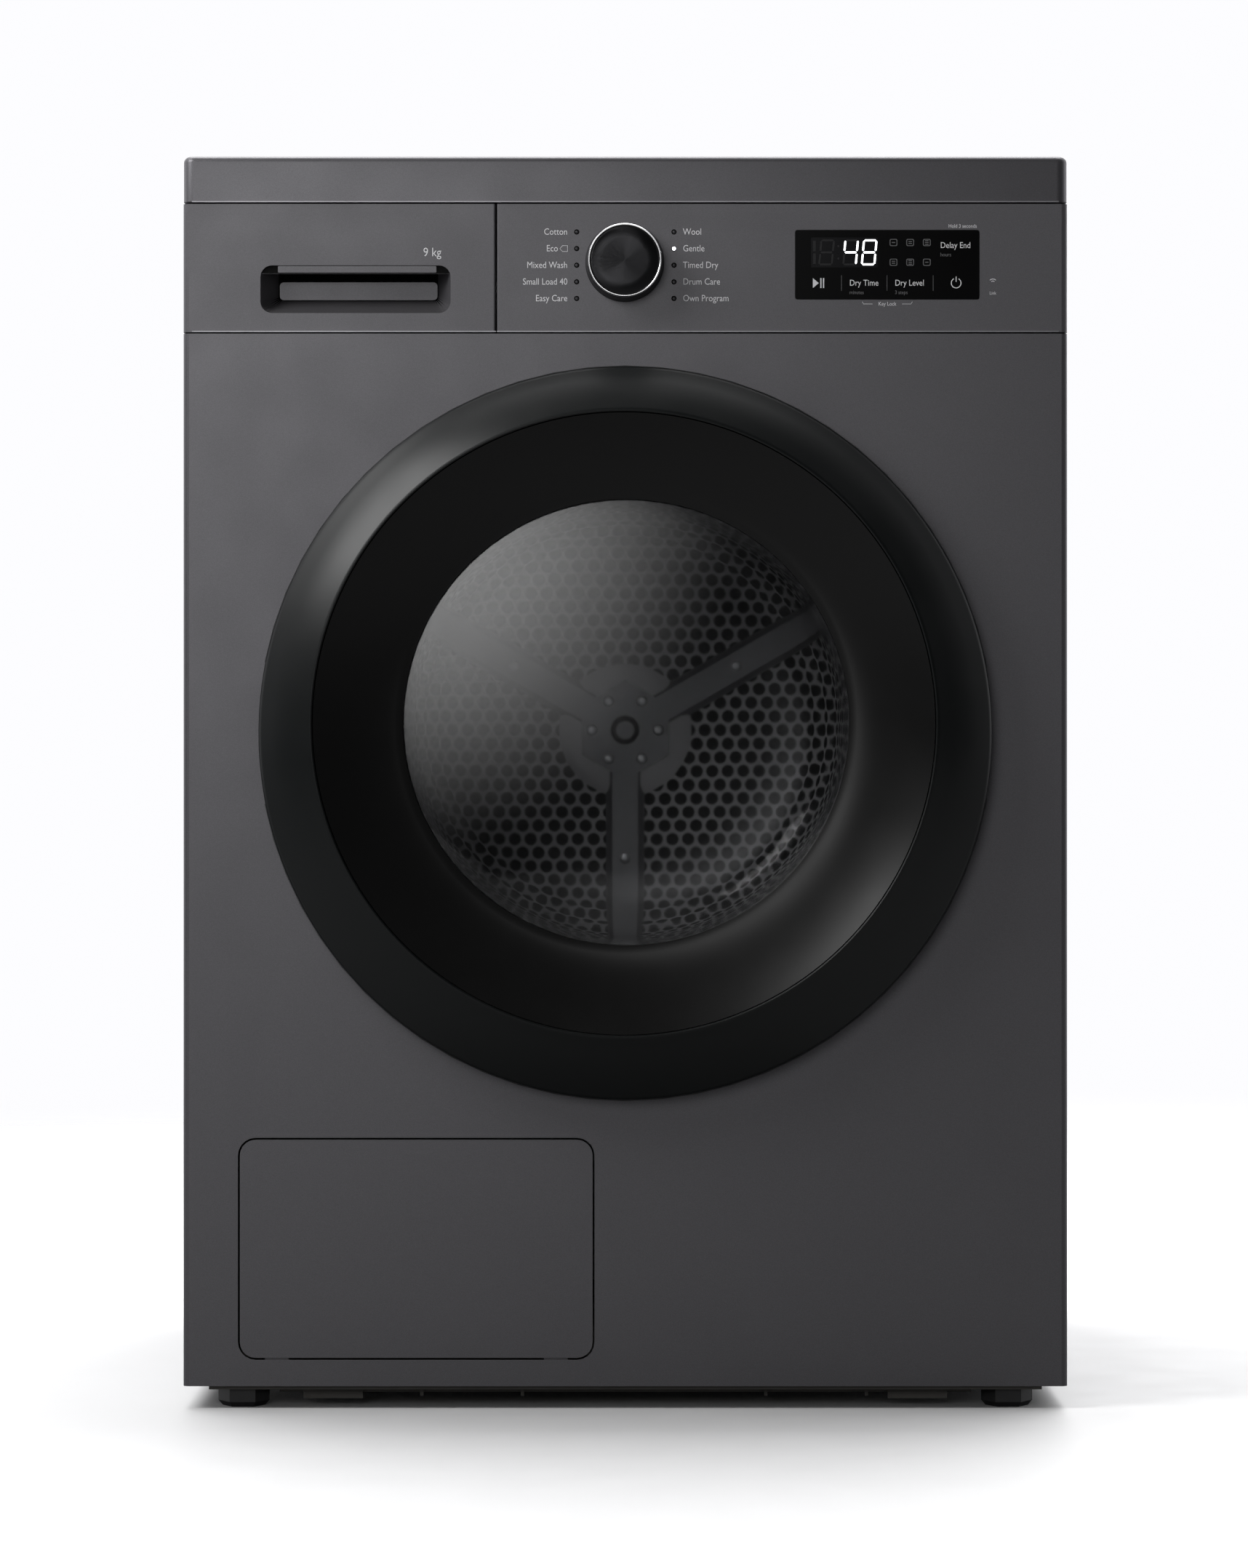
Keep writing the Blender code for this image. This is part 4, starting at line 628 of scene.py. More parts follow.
# ---------------------------------------------------------------- operators
class DRYER_OT_finishes(bpy.types.Operator):
    """Makes every finish and puts it on the model's own pieces"""

    bl_idname = "dryer.finishes"
    bl_label = "Finishes"

    def execute(self, context):
        for make in (drift_group, grain_group, dust_group, rub_group, brushed_group):
            make()
        c = colours()
        graphite, black, steel = tuple(c.graphite), tuple(c.black), tuple(c.steel)
        flake_paint("graphite", graphite, 0.40, 0.62)
        flake_paint("fascia", graphite, 0.42, 0.50)
        # Painted highlight: a lighter copy of the lacquer for thin lines where lower edges catch light.
        flake_paint("edge_highlight", tuple(v * 2.6 for v in graphite), 0.34, 0.70)
        finish("gloss_black", black, 0.16, look={"bump": 0.006, "dust": 0.02, "rub": 0.0, "specular": 0.1})
        satin = {"bump": 0.008, "grain": 1600.0, "dust": 0.02, "rub": 0.0, "specular": 0.28}
        finish("cone_black", (0.0055, 0.0055, 0.0055), 0.30, look=satin)
        finish("ring_black", (0.002, 0.003, 0.0032), 0.35, look={**satin, "specular": 0.40})
        finish("dark_plastic", (0.018, 0.018, 0.019), 0.48, look={"bump": 0.12, "grain": 1300.0, "rub": 0.35})
        # Painted shade: near black with no reflection at all, laid in pockets, holes and gaps where shade
        # falls.
        finish(
            "shade_black", (0.004, 0.004, 0.004), 0.50,
            look={"bump": 0.10, "grain": 1500.0, "dust": 0.0, "specular": 0.0},
        )
        finish("base_plastic", (0.085, 0.080, 0.072), 0.62, look={"bump": 0.12, "grain": 700.0})
        grey = {"bump": 0.06, "grain": 1200.0, "drift": 0.06, "rub": 0.1}
        finish("grey_plastic", (0.36, 0.37, 0.38), 0.42, look=grey)
        finish("tank_plastic", (0.36, 0.38, 0.39), 0.40, look=grey)
        finish("lever_plastic", (0.30, 0.42, 0.50), 0.40, look=grey)
        finish("filter_grey", (0.27, 0.28, 0.30), 0.45, look=grey)
        finish("rubber", (0.022, 0.022, 0.022), 0.78, look={"bump": 0.15, "grain": 800.0, "dust": 0.2})
        finish("felt", (0.16, 0.15, 0.14), 0.95, look={"bump": 0.6, "grain": 1700.0, "drift": 0.4})
        zinc = {"bump": 0.03, "grain": 420.0, "drift": 0.10, "rub": 0.2}
        finish("galvanised", (0.46, 0.47, 0.48), 0.42, 1.0, look=zinc)
        finish("stainless", steel, 0.30, 1.0, look={"bump": 0.02, "lines": (0.0, 0.0, 0.0), "drift": 0.08})
        # Painted light and shade: the drum's back is painted lighter and flatter than the shell's steel so it
        # reads lit, and the spokes darker so they read shaded.
        finish(
            "drum_back", (0.66, 0.65, 0.65), 0.46, 0.25, look={"bump": 0.03, "grain": 600.0, "drift": 0.10}
        )
        finish(
            "spoke_steel_shaded", (0.20, 0.20, 0.205), 0.42, 0.6, look={"bump": 0.03, "grain": 600.0, "drift": 0.10}
        )
        finish("fins", (0.60, 0.61, 0.63), 0.34, 1.0, look={"bump": 0.05, "drift": 0.2})
        finish("copper", (0.62, 0.29, 0.16), 0.30, 1.0, look={"bump": 0.05, "drift": 0.4})
        finish("screw_steel", (0.50, 0.50, 0.51), 0.32, 1.0, look={"bump": 0.05})
        bright = {"bump": 0.05, "lines": (KNOB_X, KNOB_Z, 1.0), "drift": 0.05}
        finish("knob_ring", (0.74, 0.74, 0.75), 0.20, 1.0, look=bright)
        dark = {"bump": 0.22, "lines": (KNOB_X, KNOB_Z, 1.0), "drift": 0.05, "rub": 0.0}
        finish("knob_face", (0.030, 0.030, 0.032), 0.30, 0.9, look=dark)
        spun("knob_face", 0.85)
        spun("knob_ring", 0.5)
        finish("print", tuple(c.print_ink), 0.50, look={"rub": 0.0, "dust": 0.0, "bump": 0.0})
        finish("print_dim", (0.13, 0.13, 0.135), 0.50, look={"rub": 0.0, "dust": 0.0, "bump": 0.0})
        finish("digit_dim", (0.020, 0.020, 0.021), 0.40, look={"rub": 0.0, "dust": 0.0, "specular": 0.2})
        finish(
            "screen_field", (0.004, 0.004, 0.005), 0.14, look={"bump": 0.004, "rub": 0.0, "specular": 0.25}
        )
        finish("lens", (0.045, 0.045, 0.05), 0.30, look={"rub": 0.0, "dust": 0.0})
        lit("glow", (0.95, 0.97, 1.0), 2.6)
        clear_glass("window_glass", (0.70, 0.70, 0.71), 0.03, 0.05, (0.96, 0.96, 0.97), WINDOW_BENDING)
        clear_glass("bowl_glass", (0.90, 0.91, 0.91), 0.05, 0.04, (0.98, 0.98, 0.98), BOWL_BENDING)
        dimpled(made_finish("stainless"), 14.0, 62.0, 0.55)
        for name, nodes in CAD_FINISHES.items():
            for node in nodes:
                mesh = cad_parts[node].data
                mesh.materials.clear()
                mesh.materials.append(made_finish(name))
        return {"FINISHED"}


class DRYER_OT_door(bpy.types.Operator):
    """The door's outer ring, inner cone, window, bowl and the trim of its frame"""

    bl_idname = "dryer.door"
    bl_label = "Door"

    def execute(self, context):
        steps = sizes().door_steps
        edge, crest = (0.0, DOOR_Z), (CREST_X, CREST_Z)
        window = (WINDOW_X, WINDOW_Z)
        frame_front = FRAME_LOW.y + 0.0100
        back = frame_front - 0.0003
        self.ring(steps, edge, crest, back)
        self.cone(steps, crest, window)
        self.glass(window)
        self.frame_trim(window)
        return {"FINISHED"}

    def ring(self, steps, edge, crest, back):
        stations = [
            (RING_R, back, *edge),
            (RING_R, RING_EDGE_Y + 0.0026, *edge),
            (RING_R - 0.0003, RING_EDGE_Y + 0.0012, *edge),
            (RING_R - 0.0011, RING_EDGE_Y + 0.0001, *edge),
            (RING_R - 0.0024, RING_EDGE_Y - 0.0009, *edge),
        ]
        inner, outer = CREST_R + 0.0016, RING_R - 0.0024
        for share in (0.25, 0.5, 0.75):
            radius = outer + (inner - outer) * share
            sweep = RING_EDGE_Y - 0.0009 + (CREST_Y + 0.0008 - RING_EDGE_Y + 0.0009) * share
            middle = (crest[0] * share, edge[1] + (crest[1] - edge[1]) * share)
            stations.append((radius, sweep - 0.0013 * math.sin(math.pi * share), *middle))
        stations += [
            (inner, CREST_Y + 0.0008, *crest),
            (CREST_R + 0.0006, CREST_Y + 0.0002, *crest),
            (CREST_R - 0.0004, CREST_Y, *crest),
            (CREST_R - 0.0012, CREST_Y + 0.0004, *crest),
            (CREST_R - 0.0016, CREST_Y + 0.0014, *crest),
            (CREST_R - 0.0016, CREST_Y + 0.0050, *crest),
            (RING_R - 0.0040, RING_EDGE_Y + 0.0030, *edge),
            (RING_R - 0.0040, back, *edge),
        ]
        made = piece("ring", rings(stations, steps), "ring_black", "door", ["door_ring"])
        carve(made, slab((0.2035, RING_EDGE_Y + 0.0023, DOOR_Z - 0.0335), (0.260, -0.29, DOOR_Z + 0.0335)))
        carve(made, slab((-0.260, RING_EDGE_Y + 0.0030, DOOR_Z - 0.048), (-0.218, -0.29, DOOR_Z + 0.048)))

    def cone(self, steps, crest, window):
        outer_r, inner_r = CREST_R - 0.0020, 0.1513
        outer_y, inner_y = CREST_Y + 0.0012, -0.3212
        count = 12

        def place(t):
            y = outer_y + (inner_y - outer_y) * (1 - (1 - t) ** 1.45)
            middle = (crest[0] + (window[0] - crest[0]) * t, crest[1] + (window[1] - crest[1]) * t)
            return outer_r + (inner_r - outer_r) * t, y, middle

        stations = []
        for k in range(count + 1):
            radius, y, middle = place(k / count)
            stations.append((radius, y, *middle))
        stations.append((0.1506, inner_y + 0.0004, *window))
        stations.append((0.1503, inner_y + 0.0012, *window))
        stations.append((0.1503, -0.3182, *window))
        for k in range(5):
            radius, y, middle = place(1 - k / 4 * 0.96)
            stations.append((radius + 0.0020 * (1 - k / 4), y + 0.0026, *middle))
        piece("cone", rings(stations, steps), "cone_black", "door", ["door_bezel"])

    def glass(self, window):
        pane = [
            (0, -0.3225), (0.030, -0.3223), (0.060, -0.3217), (0.090, -0.3208), (0.115, -0.3197),
            (0.138, -0.3184), (0.150, -0.3177), (0.153, -0.3172), (0.153, -0.3142), (0.138, -0.3148),
            (0.115, -0.3159), (0.090, -0.3170), (0.060, -0.3179), (0.030, -0.3184), (0, -0.3186),
        ]
        shape = turned(pane, *window, 144, closed=False)
        piece("window", shape, "window_glass", "door", ["door_window"])
        end = BOWL_BACK_Y
        inside = [(0, -0.0038), (0.050, -0.0039), (0.095, -0.0046), (0.115, -0.0058), (0.128, -0.0080)]
        inside += [
            (0.1360, -0.0118), (0.1415, -0.0170), (0.1450, -0.0240), (0.1475, -0.0340), (0.1520, -0.0520)
        ]
        inside += [(0.1560, -0.0700), (0.1632, -0.0700), (0.1632, -0.0665), (0.1590, -0.0650)]
        outside = [
            (0.1555, -0.0520), (0.1512, -0.0330), (0.1487, -0.0230), (0.1450, -0.0145), (0.1392, -0.0082)
        ]
        outside += [(0.130, -0.0040), (0.115, -0.0018), (0.095, -0.0008), (0.050, -0.0002), (0, 0.0)]
        profile = [(r, end + y) for r, y in inside + outside]
        shape = turned(profile, *window, 144, closed=False)
        piece("bowl", shape, "bowl_glass", "door", ["door_bowl"])

    def frame_trim(self, window):
        """The seal's lips, the screws and the raised rims on the door's inner side."""
        back, front = FRONT_Y - 0.0003, FRAME_HIGH.y + 0.0003
        lip = [(0.1812, front), (0.1902, front), (0.1905, front + 0.0006), (0.1893, front + 0.0012)]
        lip += [(0.1888, back), (0.1868, back), (0.1860, front + 0.0011), (0.1850, back), (0.1830, back)]
        lip += [(0.1818, front + 0.0010)]
        shape = turned(lip, 0.0, WINDOW_Z, 128)
        piece("seal", shape, "rubber", "door", ["door_gasket"])
        places = []
        for k in range(10):
            angle = math.radians(18 + 36 * k)
            x, z = 0.2120 * math.cos(angle), DOOR_Z + 0.2120 * math.sin(angle)
            if abs(z - DOOR_Z) > 0.055:
                places.append((x, FRAME_HIGH.y, z))
        shape = screws(places, (0, 1, 0), 0.0042, 0.0016)
        piece("frame_screws", shape, "screw_steel", "door")
        y = FRAME_HIGH.y
        rims = []
        for radius in (0.1700, 0.2300):
            profile = [
                (radius, y), (radius + 0.0022, y), (radius + 0.0018, y + 0.0010),
                (radius + 0.0004, y + 0.0010),
            ]
            centre = WINDOW_Z if radius < 0.2 else DOOR_Z
            rims.append(turned(profile, 0.0, centre, 128))
        made = piece("frame_rims", together(rims), "dark_plastic", "door")
        carve(made, slab((0.2000, y - 0.01, DOOR_Z - 0.0360), (0.260, y + 0.01, DOOR_Z + 0.0360)))
        carve(made, slab((-0.260, y - 0.01, DOOR_Z - 0.0500), (-0.212, y + 0.01, DOOR_Z + 0.0500)))


class DRYER_OT_drum(bpy.types.Operator):
    """The drum's shell, perforated back, spokes, hub and lifters"""

    bl_idname = "dryer.drum"
    bl_label = "Drum"

    def execute(self, context):
        self.shell()
        self.plate()
        self.spokes()
        self.lifters()
        return {"FINISHED"}

    def shell(self):
        low, high = DRUM_LOW.y, DRUM_HIGH.y
        outer, inner, lip = DRUM_R - 0.0001, DRUM_R - 0.0013, 0.2488
        profile = [
            (0.2440, low), (0.2492, low), (0.2500, low + 0.0008), (0.2500, low + 0.0225),
            (0.2520, low + 0.0240),
        ]
        profile += [(0.2785, low + 0.0252), (outer, low + 0.0270)]
        bead = ((-0.006, 0.0), (-0.003, 0.0030), (0.003, 0.0030), (0.006, 0.0))
        beads = [(deep, y + along) for y in (-0.100, 0.120) for along, deep in bead]
        profile += [(outer - deep, y) for deep, y in beads]
        profile += [(outer, high), (inner, high)]
        profile += [(inner - deep, y) for deep, y in reversed(beads)]
        profile += [
            (inner, low + 0.0280), (lip + 0.0030, low + 0.0252), (lip, low + 0.0235), (lip, low + 0.0012)
        ]
        profile += [(0.2440, low + 0.0012)]
        shape = turned(profile, 0.0, DRUM_Z, 160)
        piece("shell", shape, "stainless", "drum", ["drum_shell"])

    def plate(self):
        """A sheet of round holes in a close lattice, with a plain rim and boss."""
        y, thick = 0.2290, 0.0012
        pitch, radius = sizes().hole_pitch, sizes().hole_diameter / 2
        shape = bmesh.new()
        hexagon = []
        for k in range(12):
            reach = pitch / math.sqrt(3) if k % 2 == 0 else pitch / 2
            turn = math.radians(30 + 30 * k)
            hexagon.append((reach * math.cos(turn), reach * math.sin(turn)))
        circle = [(radius * u / math.hypot(u, v), radius * v / math.hypot(u, v)) for u, v in hexagon]
        rows = int(0.25 / (pitch * math.sqrt(3) / 2)) + 1
        for row in range(-rows, rows + 1):
            for column in range(-rows - 2, rows + 3):
                u = column * pitch + (row % 2) * pitch / 2
                v = row * pitch * math.sqrt(3) / 2
                reach = math.hypot(u, v)
                if reach > 0.2460 or reach < 0.0440:
                    continue
                rim = [shape.verts.new((u + a, y, DRUM_Z + v + b)) for a, b in hexagon]
                lip = [shape.verts.new((u + a * 1.12, y - 0.0003, DRUM_Z + v + b * 1.12)) for a, b in circle]
                hole = [shape.verts.new((u + a, y + 0.0002, DRUM_Z + v + b)) for a, b in circle]
                deep = [shape.verts.new((u + a, y + thick, DRUM_Z + v + b)) for a, b in circle]
                for a, b in ((rim, lip), (lip, hole), (hole, deep)):
                    for k in range(12):
                        m = (k + 1) % 12
                        shape.faces.new((a[k], b[k], b[m], a[m]))
        bmesh.ops.remove_doubles(shape, verts=shape.verts, dist=0.00005)
        rim_r = 0.2775
        rest = [(0.2430, y - 0.0006), (0.2500, y + 0.0030), (0.2560, y + 0.0055), (rim_r, y + 0.0055)]
        rest += [(rim_r, y + 0.0130), (rim_r - 0.0014, y + 0.0130), (rim_r - 0.0014, y + 0.0069)]
        rest += [(0.2555, y + 0.0069), (0.2490, y + 0.0042), (0.2425, y + 0.0008)]
        boss = [
            (0, y - 0.0040), (0.0440, y - 0.0040), (0.0510, y - 0.0004), (0.0510, y + 0.0008),
            (0.0435, y - 0.0026),
        ]
        boss += [
            (0.0200, y - 0.0026), (0.0200, y + 0.0090), (0.0100, y + 0.0090), (0.0100, 0.3180), (0, 0.3180)
        ]
        parts = [shape, turned(rest, 0.0, DRUM_Z, 128), turned(boss, 0.0, DRUM_Z, 64, closed=False)]
        piece("perforated_back", together(parts), "drum_back", "drum", ["drum_back"])
        # A black sheet behind the holes, painted shade seen through them.
        backing_outline = [(0.0440, y + 0.0060), (0.2400, y + 0.0060), (0.2400, y + 0.0070), (0.0440, y + 0.0070)]
        piece("hole_shade_backing", turned(backing_outline, 0.0, DRUM_Z, 96), "shade_black", "drum")

    def spokes(self):
        low, high, front = 0.030, 0.2475, 0.2222
        parts = []
        for angle in SPOKE_ANGLES:
            foot, step, top = (
                [(low, -half), (high, -half), (high, half), (low, half)] for half in (0.0150, 0.0135, 0.0100)
            )
            stages = [(foot, 0.2294), (foot, 0.2284), (step, 0.2276), (top, front), (top, front + 0.0005)]
            spoke = loft(stages, "y", False)
            spoke.faces.new(spoke.verts[-8:-4])
            place = Matrix.Translation((0, 0, DRUM_Z)) @ Matrix.Rotation(math.radians(-angle), 4, "Y")
            parts.append(moved(spoke, place))
        outline = arc(0, DRUM_Z, 0.0385, 30, 330, 5)
        parts.append(prism(outline, "y", 0.2205, 0.2262, 0.0012, 3))
        made = piece("spokes", together(parts), "spoke_steel_shaded", "drum")
        made.data.set_sharp_from_angle(angle=math.radians(25))
        places = []
        for k in range(6):
            turn = math.radians(60 * k)
            places.append((HUB_SCREW_RING * math.cos(turn), 0.2205, DRUM_Z + HUB_SCREW_RING * math.sin(turn)))
        for angle in SPOKE_ANGLES:
            for reach in (0.100, 0.225):
                turn = math.radians(angle)
                places.append((reach * math.cos(turn), front, DRUM_Z + reach * math.sin(turn)))
        piece(
            "hub_screws", screws(places, (0, -1, 0), 0.0042, 0.0018), "screw_steel", "drum"
        )
        # A black dish in the hub's hole, painted shade.
        profile = [
            (0.0070, 0.2200), (0.0095, 0.2196), (0.0110, 0.2204), (0.0070, 0.2204), (0.0062, 0.2230),
            (0, 0.2230),
        ]
        cap = turned(list(reversed(profile)), 0.0, DRUM_Z, 32, closed=False)
        piece("hub_hole", cap, "shade_black", "drum")

    def lifters(self):
        """Hollow plastic paddles with rounded backs, one at each CAD lifter."""
        for k in range(3):
            angle = 90 + 120 * k
            turn = math.radians(angle)
            outlines = []
            for along, share in (
                (-0.166, 0.93), (-0.160, 0.985), (-0.150, 1.0), (0.205, 1.0), (0.217, 0.985), (0.222, 0.95)
            ):
                tip = 0.2776 - (0.2776 - 0.2240) * share
                half = [(0.2776, 8.4), (0.2690, 7.5), (0.2560, 5.9), (0.2420, 4.7), (0.2310, 3.8)]
                side = [(0.2776 - (0.2776 - r) * share, a * (0.94 + 0.06 * share)) for r, a in half]
                crown = [(tip + 0.0030, 3.1), (tip + 0.0008, 1.9), (tip, 0.7)]
                points = side + crown + [(r, -a) for r, a in reversed(side + crown)]
                outline = []
                for r, a in points:
                    t = turn + math.radians(a)
                    outline.append((r * math.cos(t), DRUM_Z + r * math.sin(t)))
                outlines.append((outline, along))
            shape = loft(outlines, "y")
            piece(f"paddle_{k + 1}", shape, "grey_plastic", "drum", [f"lifter_{k + 1}"], 40)


class DRYER_OT_mouth(bpy.types.Operator):
    """What is round the drum's mouth: trim, drying sensors, lamp, felt and the lint filter's grille"""

    bl_idname = "dryer.mouth"
    bl_label = "Drum Mouth"

    def execute(self, context):
        trim = [(0.1752, FRONT_Y + 0.0028), (0.1752, FRONT_Y - 0.0002), (0.1762, FRONT_Y - 0.0012)]
        trim += [(0.1795, FRONT_Y - 0.0012), (0.1803, FRONT_Y - 0.0004), (0.1803, FRONT_Y - 0.0001)]
        trim += [(0.1776, FRONT_Y - 0.0001), (0.1776, FRONT_Y + 0.0028)]
        shape = turned(trim, 0.0, WINDOW_Z, 144)
        piece("opening_trim", shape, "grey_plastic", "cabinet")
        felt_low, felt_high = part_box("drum_front_seal")
        reach = (felt_high.z - felt_low.z) / 2
        profile = [(0.2352, felt_low.y), (reach, felt_low.y), (reach, felt_high.y), (0.2352, felt_high.y)]
        shape = turned(profile, 0.0, DRUM_Z, 128)
        piece("felt_ring", shape, "felt", "cabinet", ["drum_front_seal"])
        self.sensors()
        self.filter_top()
        return {"FINISHED"}

    def sensors(self):
        """Two steel strips that feel the laundry's damp, and the lamp's lens opposite."""
        strips = []
        for middle in (216, 221):
            radius = 0.1752
            outline = arc(0, WINDOW_Z, radius, middle - 1.3, middle + 1.3, 4)
            outline += arc(0, WINDOW_Z, radius - 0.0016, middle + 0.9, middle - 0.9, 4)
            strips.append(prism(outline, "y", -0.286, -0.232))
        piece("damp_sensor", together(strips), "screw_steel", "cabinet")
        outline = arc(0, WINDOW_Z, 0.1756, 55, 66, 8) + arc(0, WINDOW_Z, 0.1725, 65, 56, 8)
        lens = prism(outline, "y", -0.280, -0.245, 0.0010)
        piece("lamp_lens", lens, "tank_plastic", "cabinet")

    def filter_top(self):
        """The grille over the filter's mouth and the fine ribs that hold its mesh."""
        front, back = FILTER_LOW.y, FILTER_HIGH.y
        bars = []
        half = FILTER_HIGH.x - 0.009
        for k in range(15):
            x = -half + (2 * half) * (k + 0.5) / 15
            top = WINDOW_Z - math.sqrt(0.1755**2 - x * x)
            bars.append(
                slab((x - 0.0012, front + 0.0010, top - 0.0050), (x + 0.0012, back - 0.0010, top), 0.0003)
            )
        points = []
        for k in range(25):
            x = -half + 2 * half * k / 24
            points.append((x, (front + back) / 2, WINDOW_Z - math.sqrt(0.1752**2 - x * x) - 0.0016))
        bars.append(tube(points, 0.0014, 8))
        handle = [
            (-0.022, front + 0.0012), (0.022, front + 0.0012), (0.018, back - 0.0014), (-0.018, back - 0.0014)
        ]
        bars.append(prism(handle, "z", WINDOW_Z - 0.1757 - 0.0006, WINDOW_Z - 0.1757 + 0.0006, 0.0004))
        piece("filter_grille", together(bars), "filter_grey", "filter")
        ribs = []
        for k in range(9):
            x = -0.090 + 0.180 * k / 8
            top = WINDOW_Z - math.sqrt(0.1745**2 - x * x) - 0.004
            ribs.append(
                slab((x - 0.0008, front - 0.0003, FILTER_LOW.z + 0.008), (x + 0.0008, front, top), 0.0)
            )
        for k in range(5):
            z = FILTER_LOW.z + 0.012 + 0.018 * k
            ribs.append(slab((-0.094, front - 0.0003, z - 0.0008), (0.094, front, z + 0.0008), 0.0))
        piece("filter_ribs", together(ribs), "dark_plastic", "filter")


class DRYER_OT_controls(bpy.types.Operator):
    """The dial, program names, lights and the drawer's grip"""

    bl_idname = "dryer.controls"
    bl_label = "Controls"

    def execute(self, context):
        self.dial()
        self.names()
        self.lamps()
        self.grip()
        return {"FINISHED"}

    def dial(self):
        face = KNOB_LOW.y
        base = FRONT_Y - 0.0006
        body = [
            (0.0233, face + 0.0012), (0.0233, face + 0.0036), (0.0248, face + 0.0036), (0.0252, face + 0.0044)
        ]
        body += [(0.0254, face + 0.0056), (KNOB_R - 0.0002, base - 0.0020), (KNOB_R, base - 0.0010)]
        body += [
            (KNOB_R - 0.0003, base - 0.0003), (KNOB_R - 0.0010, base), (0.0045, base), (0.0045, KNOB_HIGH.y)
        ]
        body += [(0, KNOB_HIGH.y)]
        body = [(0, face + 0.0012)] + body
        shape = turned(body, KNOB_X, KNOB_Z, 128, closed=False)
        piece("dial_body", shape, "gloss_black", "knob", ["knob_body"])
        cap = [(0, face + 0.0004), (0.0150, face + 0.0005), (0.0222, face + 0.0006), (0.0229, face + 0.0010)]
        cap += [(0.0231, face + 0.0018), (0, face + 0.0018)]
        shape = turned(cap, KNOB_X, KNOB_Z, 128, closed=False)
        piece("dial_face", shape, "knob_face", "knob")
        ring = [(0.0234, face + 0.0008), (0.0236, face + 0.0002), (0.0239, face), (0.0243, face)]
        ring += [
            (0.0247, face + 0.0003), (0.0250, face + 0.0010), (0.0250, face + 0.0032), (0.0234, face + 0.0032)
        ]
        shape = turned(ring, KNOB_X, KNOB_Z, 128)
        piece("dial_ring", shape, "knob_ring", "knob", ["knob_ring"])

    def names(self):
        tall, y = sizes().label_height, FRONT_Y
        left = ("Cotton", "Eco", "Mixed Wash", "Small Load 40", "Easy Care")
        right = ("Wool", "Gentle", "Timed Dry", "Drum Care", "Own Program")
        shapes = []
        for k in range(5):
            z = LED_Z + LED_STEP * (2 - k)
            room = 0.0064 if left[k] == "Eco" else 0.0
            shapes.append(lettering(left[k], KNOB_X - 0.0388 - room, z, tall, "RIGHT", y))
            shapes.append(lettering(right[k], KNOB_X + 0.0394, z, tall, "LEFT", y))
        shapes.append(lettering("9 kg", -0.1248, LED_Z + 0.0086, 0.0060, "RIGHT", y))
        screen_top = SCREEN_HIGH.z
        shapes.append(
            lettering("Hold 3 seconds", SCREEN_HIGH.x - 0.0016, screen_top + 0.0028, 0.0025, "RIGHT", y)
        )
        middle = (SCREEN_LOW.x + SCREEN_HIGH.x) / 2
        below = SCREEN_LOW.z - 0.0032
        shapes.append(lettering("Key Lock", middle, below, 0.0026, "CENTER", y))
        for side in (-1, 1):
            bracket = [(middle + side * 0.0170, y, below + 0.0016), (middle + side * 0.0161, y, below)]
            shapes.append(tube([*bracket, (middle + side * 0.0100, y, below)], 0.00016, 6))
        edge = SCREEN_HIGH.x + 0.0092
        shapes.append(lettering("Link", edge, LED_Z - 0.0190, 0.0022, "CENTER", y))
        for radius in (0.0012, 0.0026):
            wave = arc(edge, LED_Z - 0.0122, radius + 0.0005, 45, 135, 8)
            wave += arc(edge, LED_Z - 0.0122, radius, 135, 45, 8)
            shapes.append(prism(wave, "y", y - 0.0001, y + 0.0001))
        x, z = KNOB_X - 0.0388, LED_Z + LED_STEP
        tag = [
            (x, z - 0.0020), (x, z + 0.0020), (x - 0.0034, z + 0.0020), (x - 0.0052, z),
            (x - 0.0034, z - 0.0020),
        ]
        shapes.append(tube([(u, y, v) for u, v in [*tag, tag[0]]], 0.00020, 6))
        piece("program_names", together(shapes), "print", "cabinet")

    def lamps(self):
        rims, dim, bright = [], [], []
        for side in (-1, 1):
            for k in range(5):
                z = LED_Z + LED_STEP * (2 - k)
                rim = [
                    (0.0010, FRONT_Y), (0.0011, FRONT_Y - 0.0001), (0.0017, FRONT_Y - 0.0001),
                    (0.0018, FRONT_Y),
                ]
                rims.append(turned(rim, side * LED_X, z, 24))
                on = side == 1 and k == 1
                reach = 0.0016 if on else 0.0010
                lens = [
                    (0, FRONT_Y - 0.0002), (reach * 0.7, FRONT_Y - 0.00017), (reach, FRONT_Y), (0, FRONT_Y)
                ]
                (bright if on else dim).append(turned(lens, side * LED_X, z, 20, closed=False))
        # Dark rims round the lamps, in the same painted shade black.
        piece("lamp_rims", together(rims), "shade_black", "cabinet")
        piece("lamps_off", together(dim), "lens", "cabinet")
        piece("lamp_on", together(bright), "glow", "cabinet")

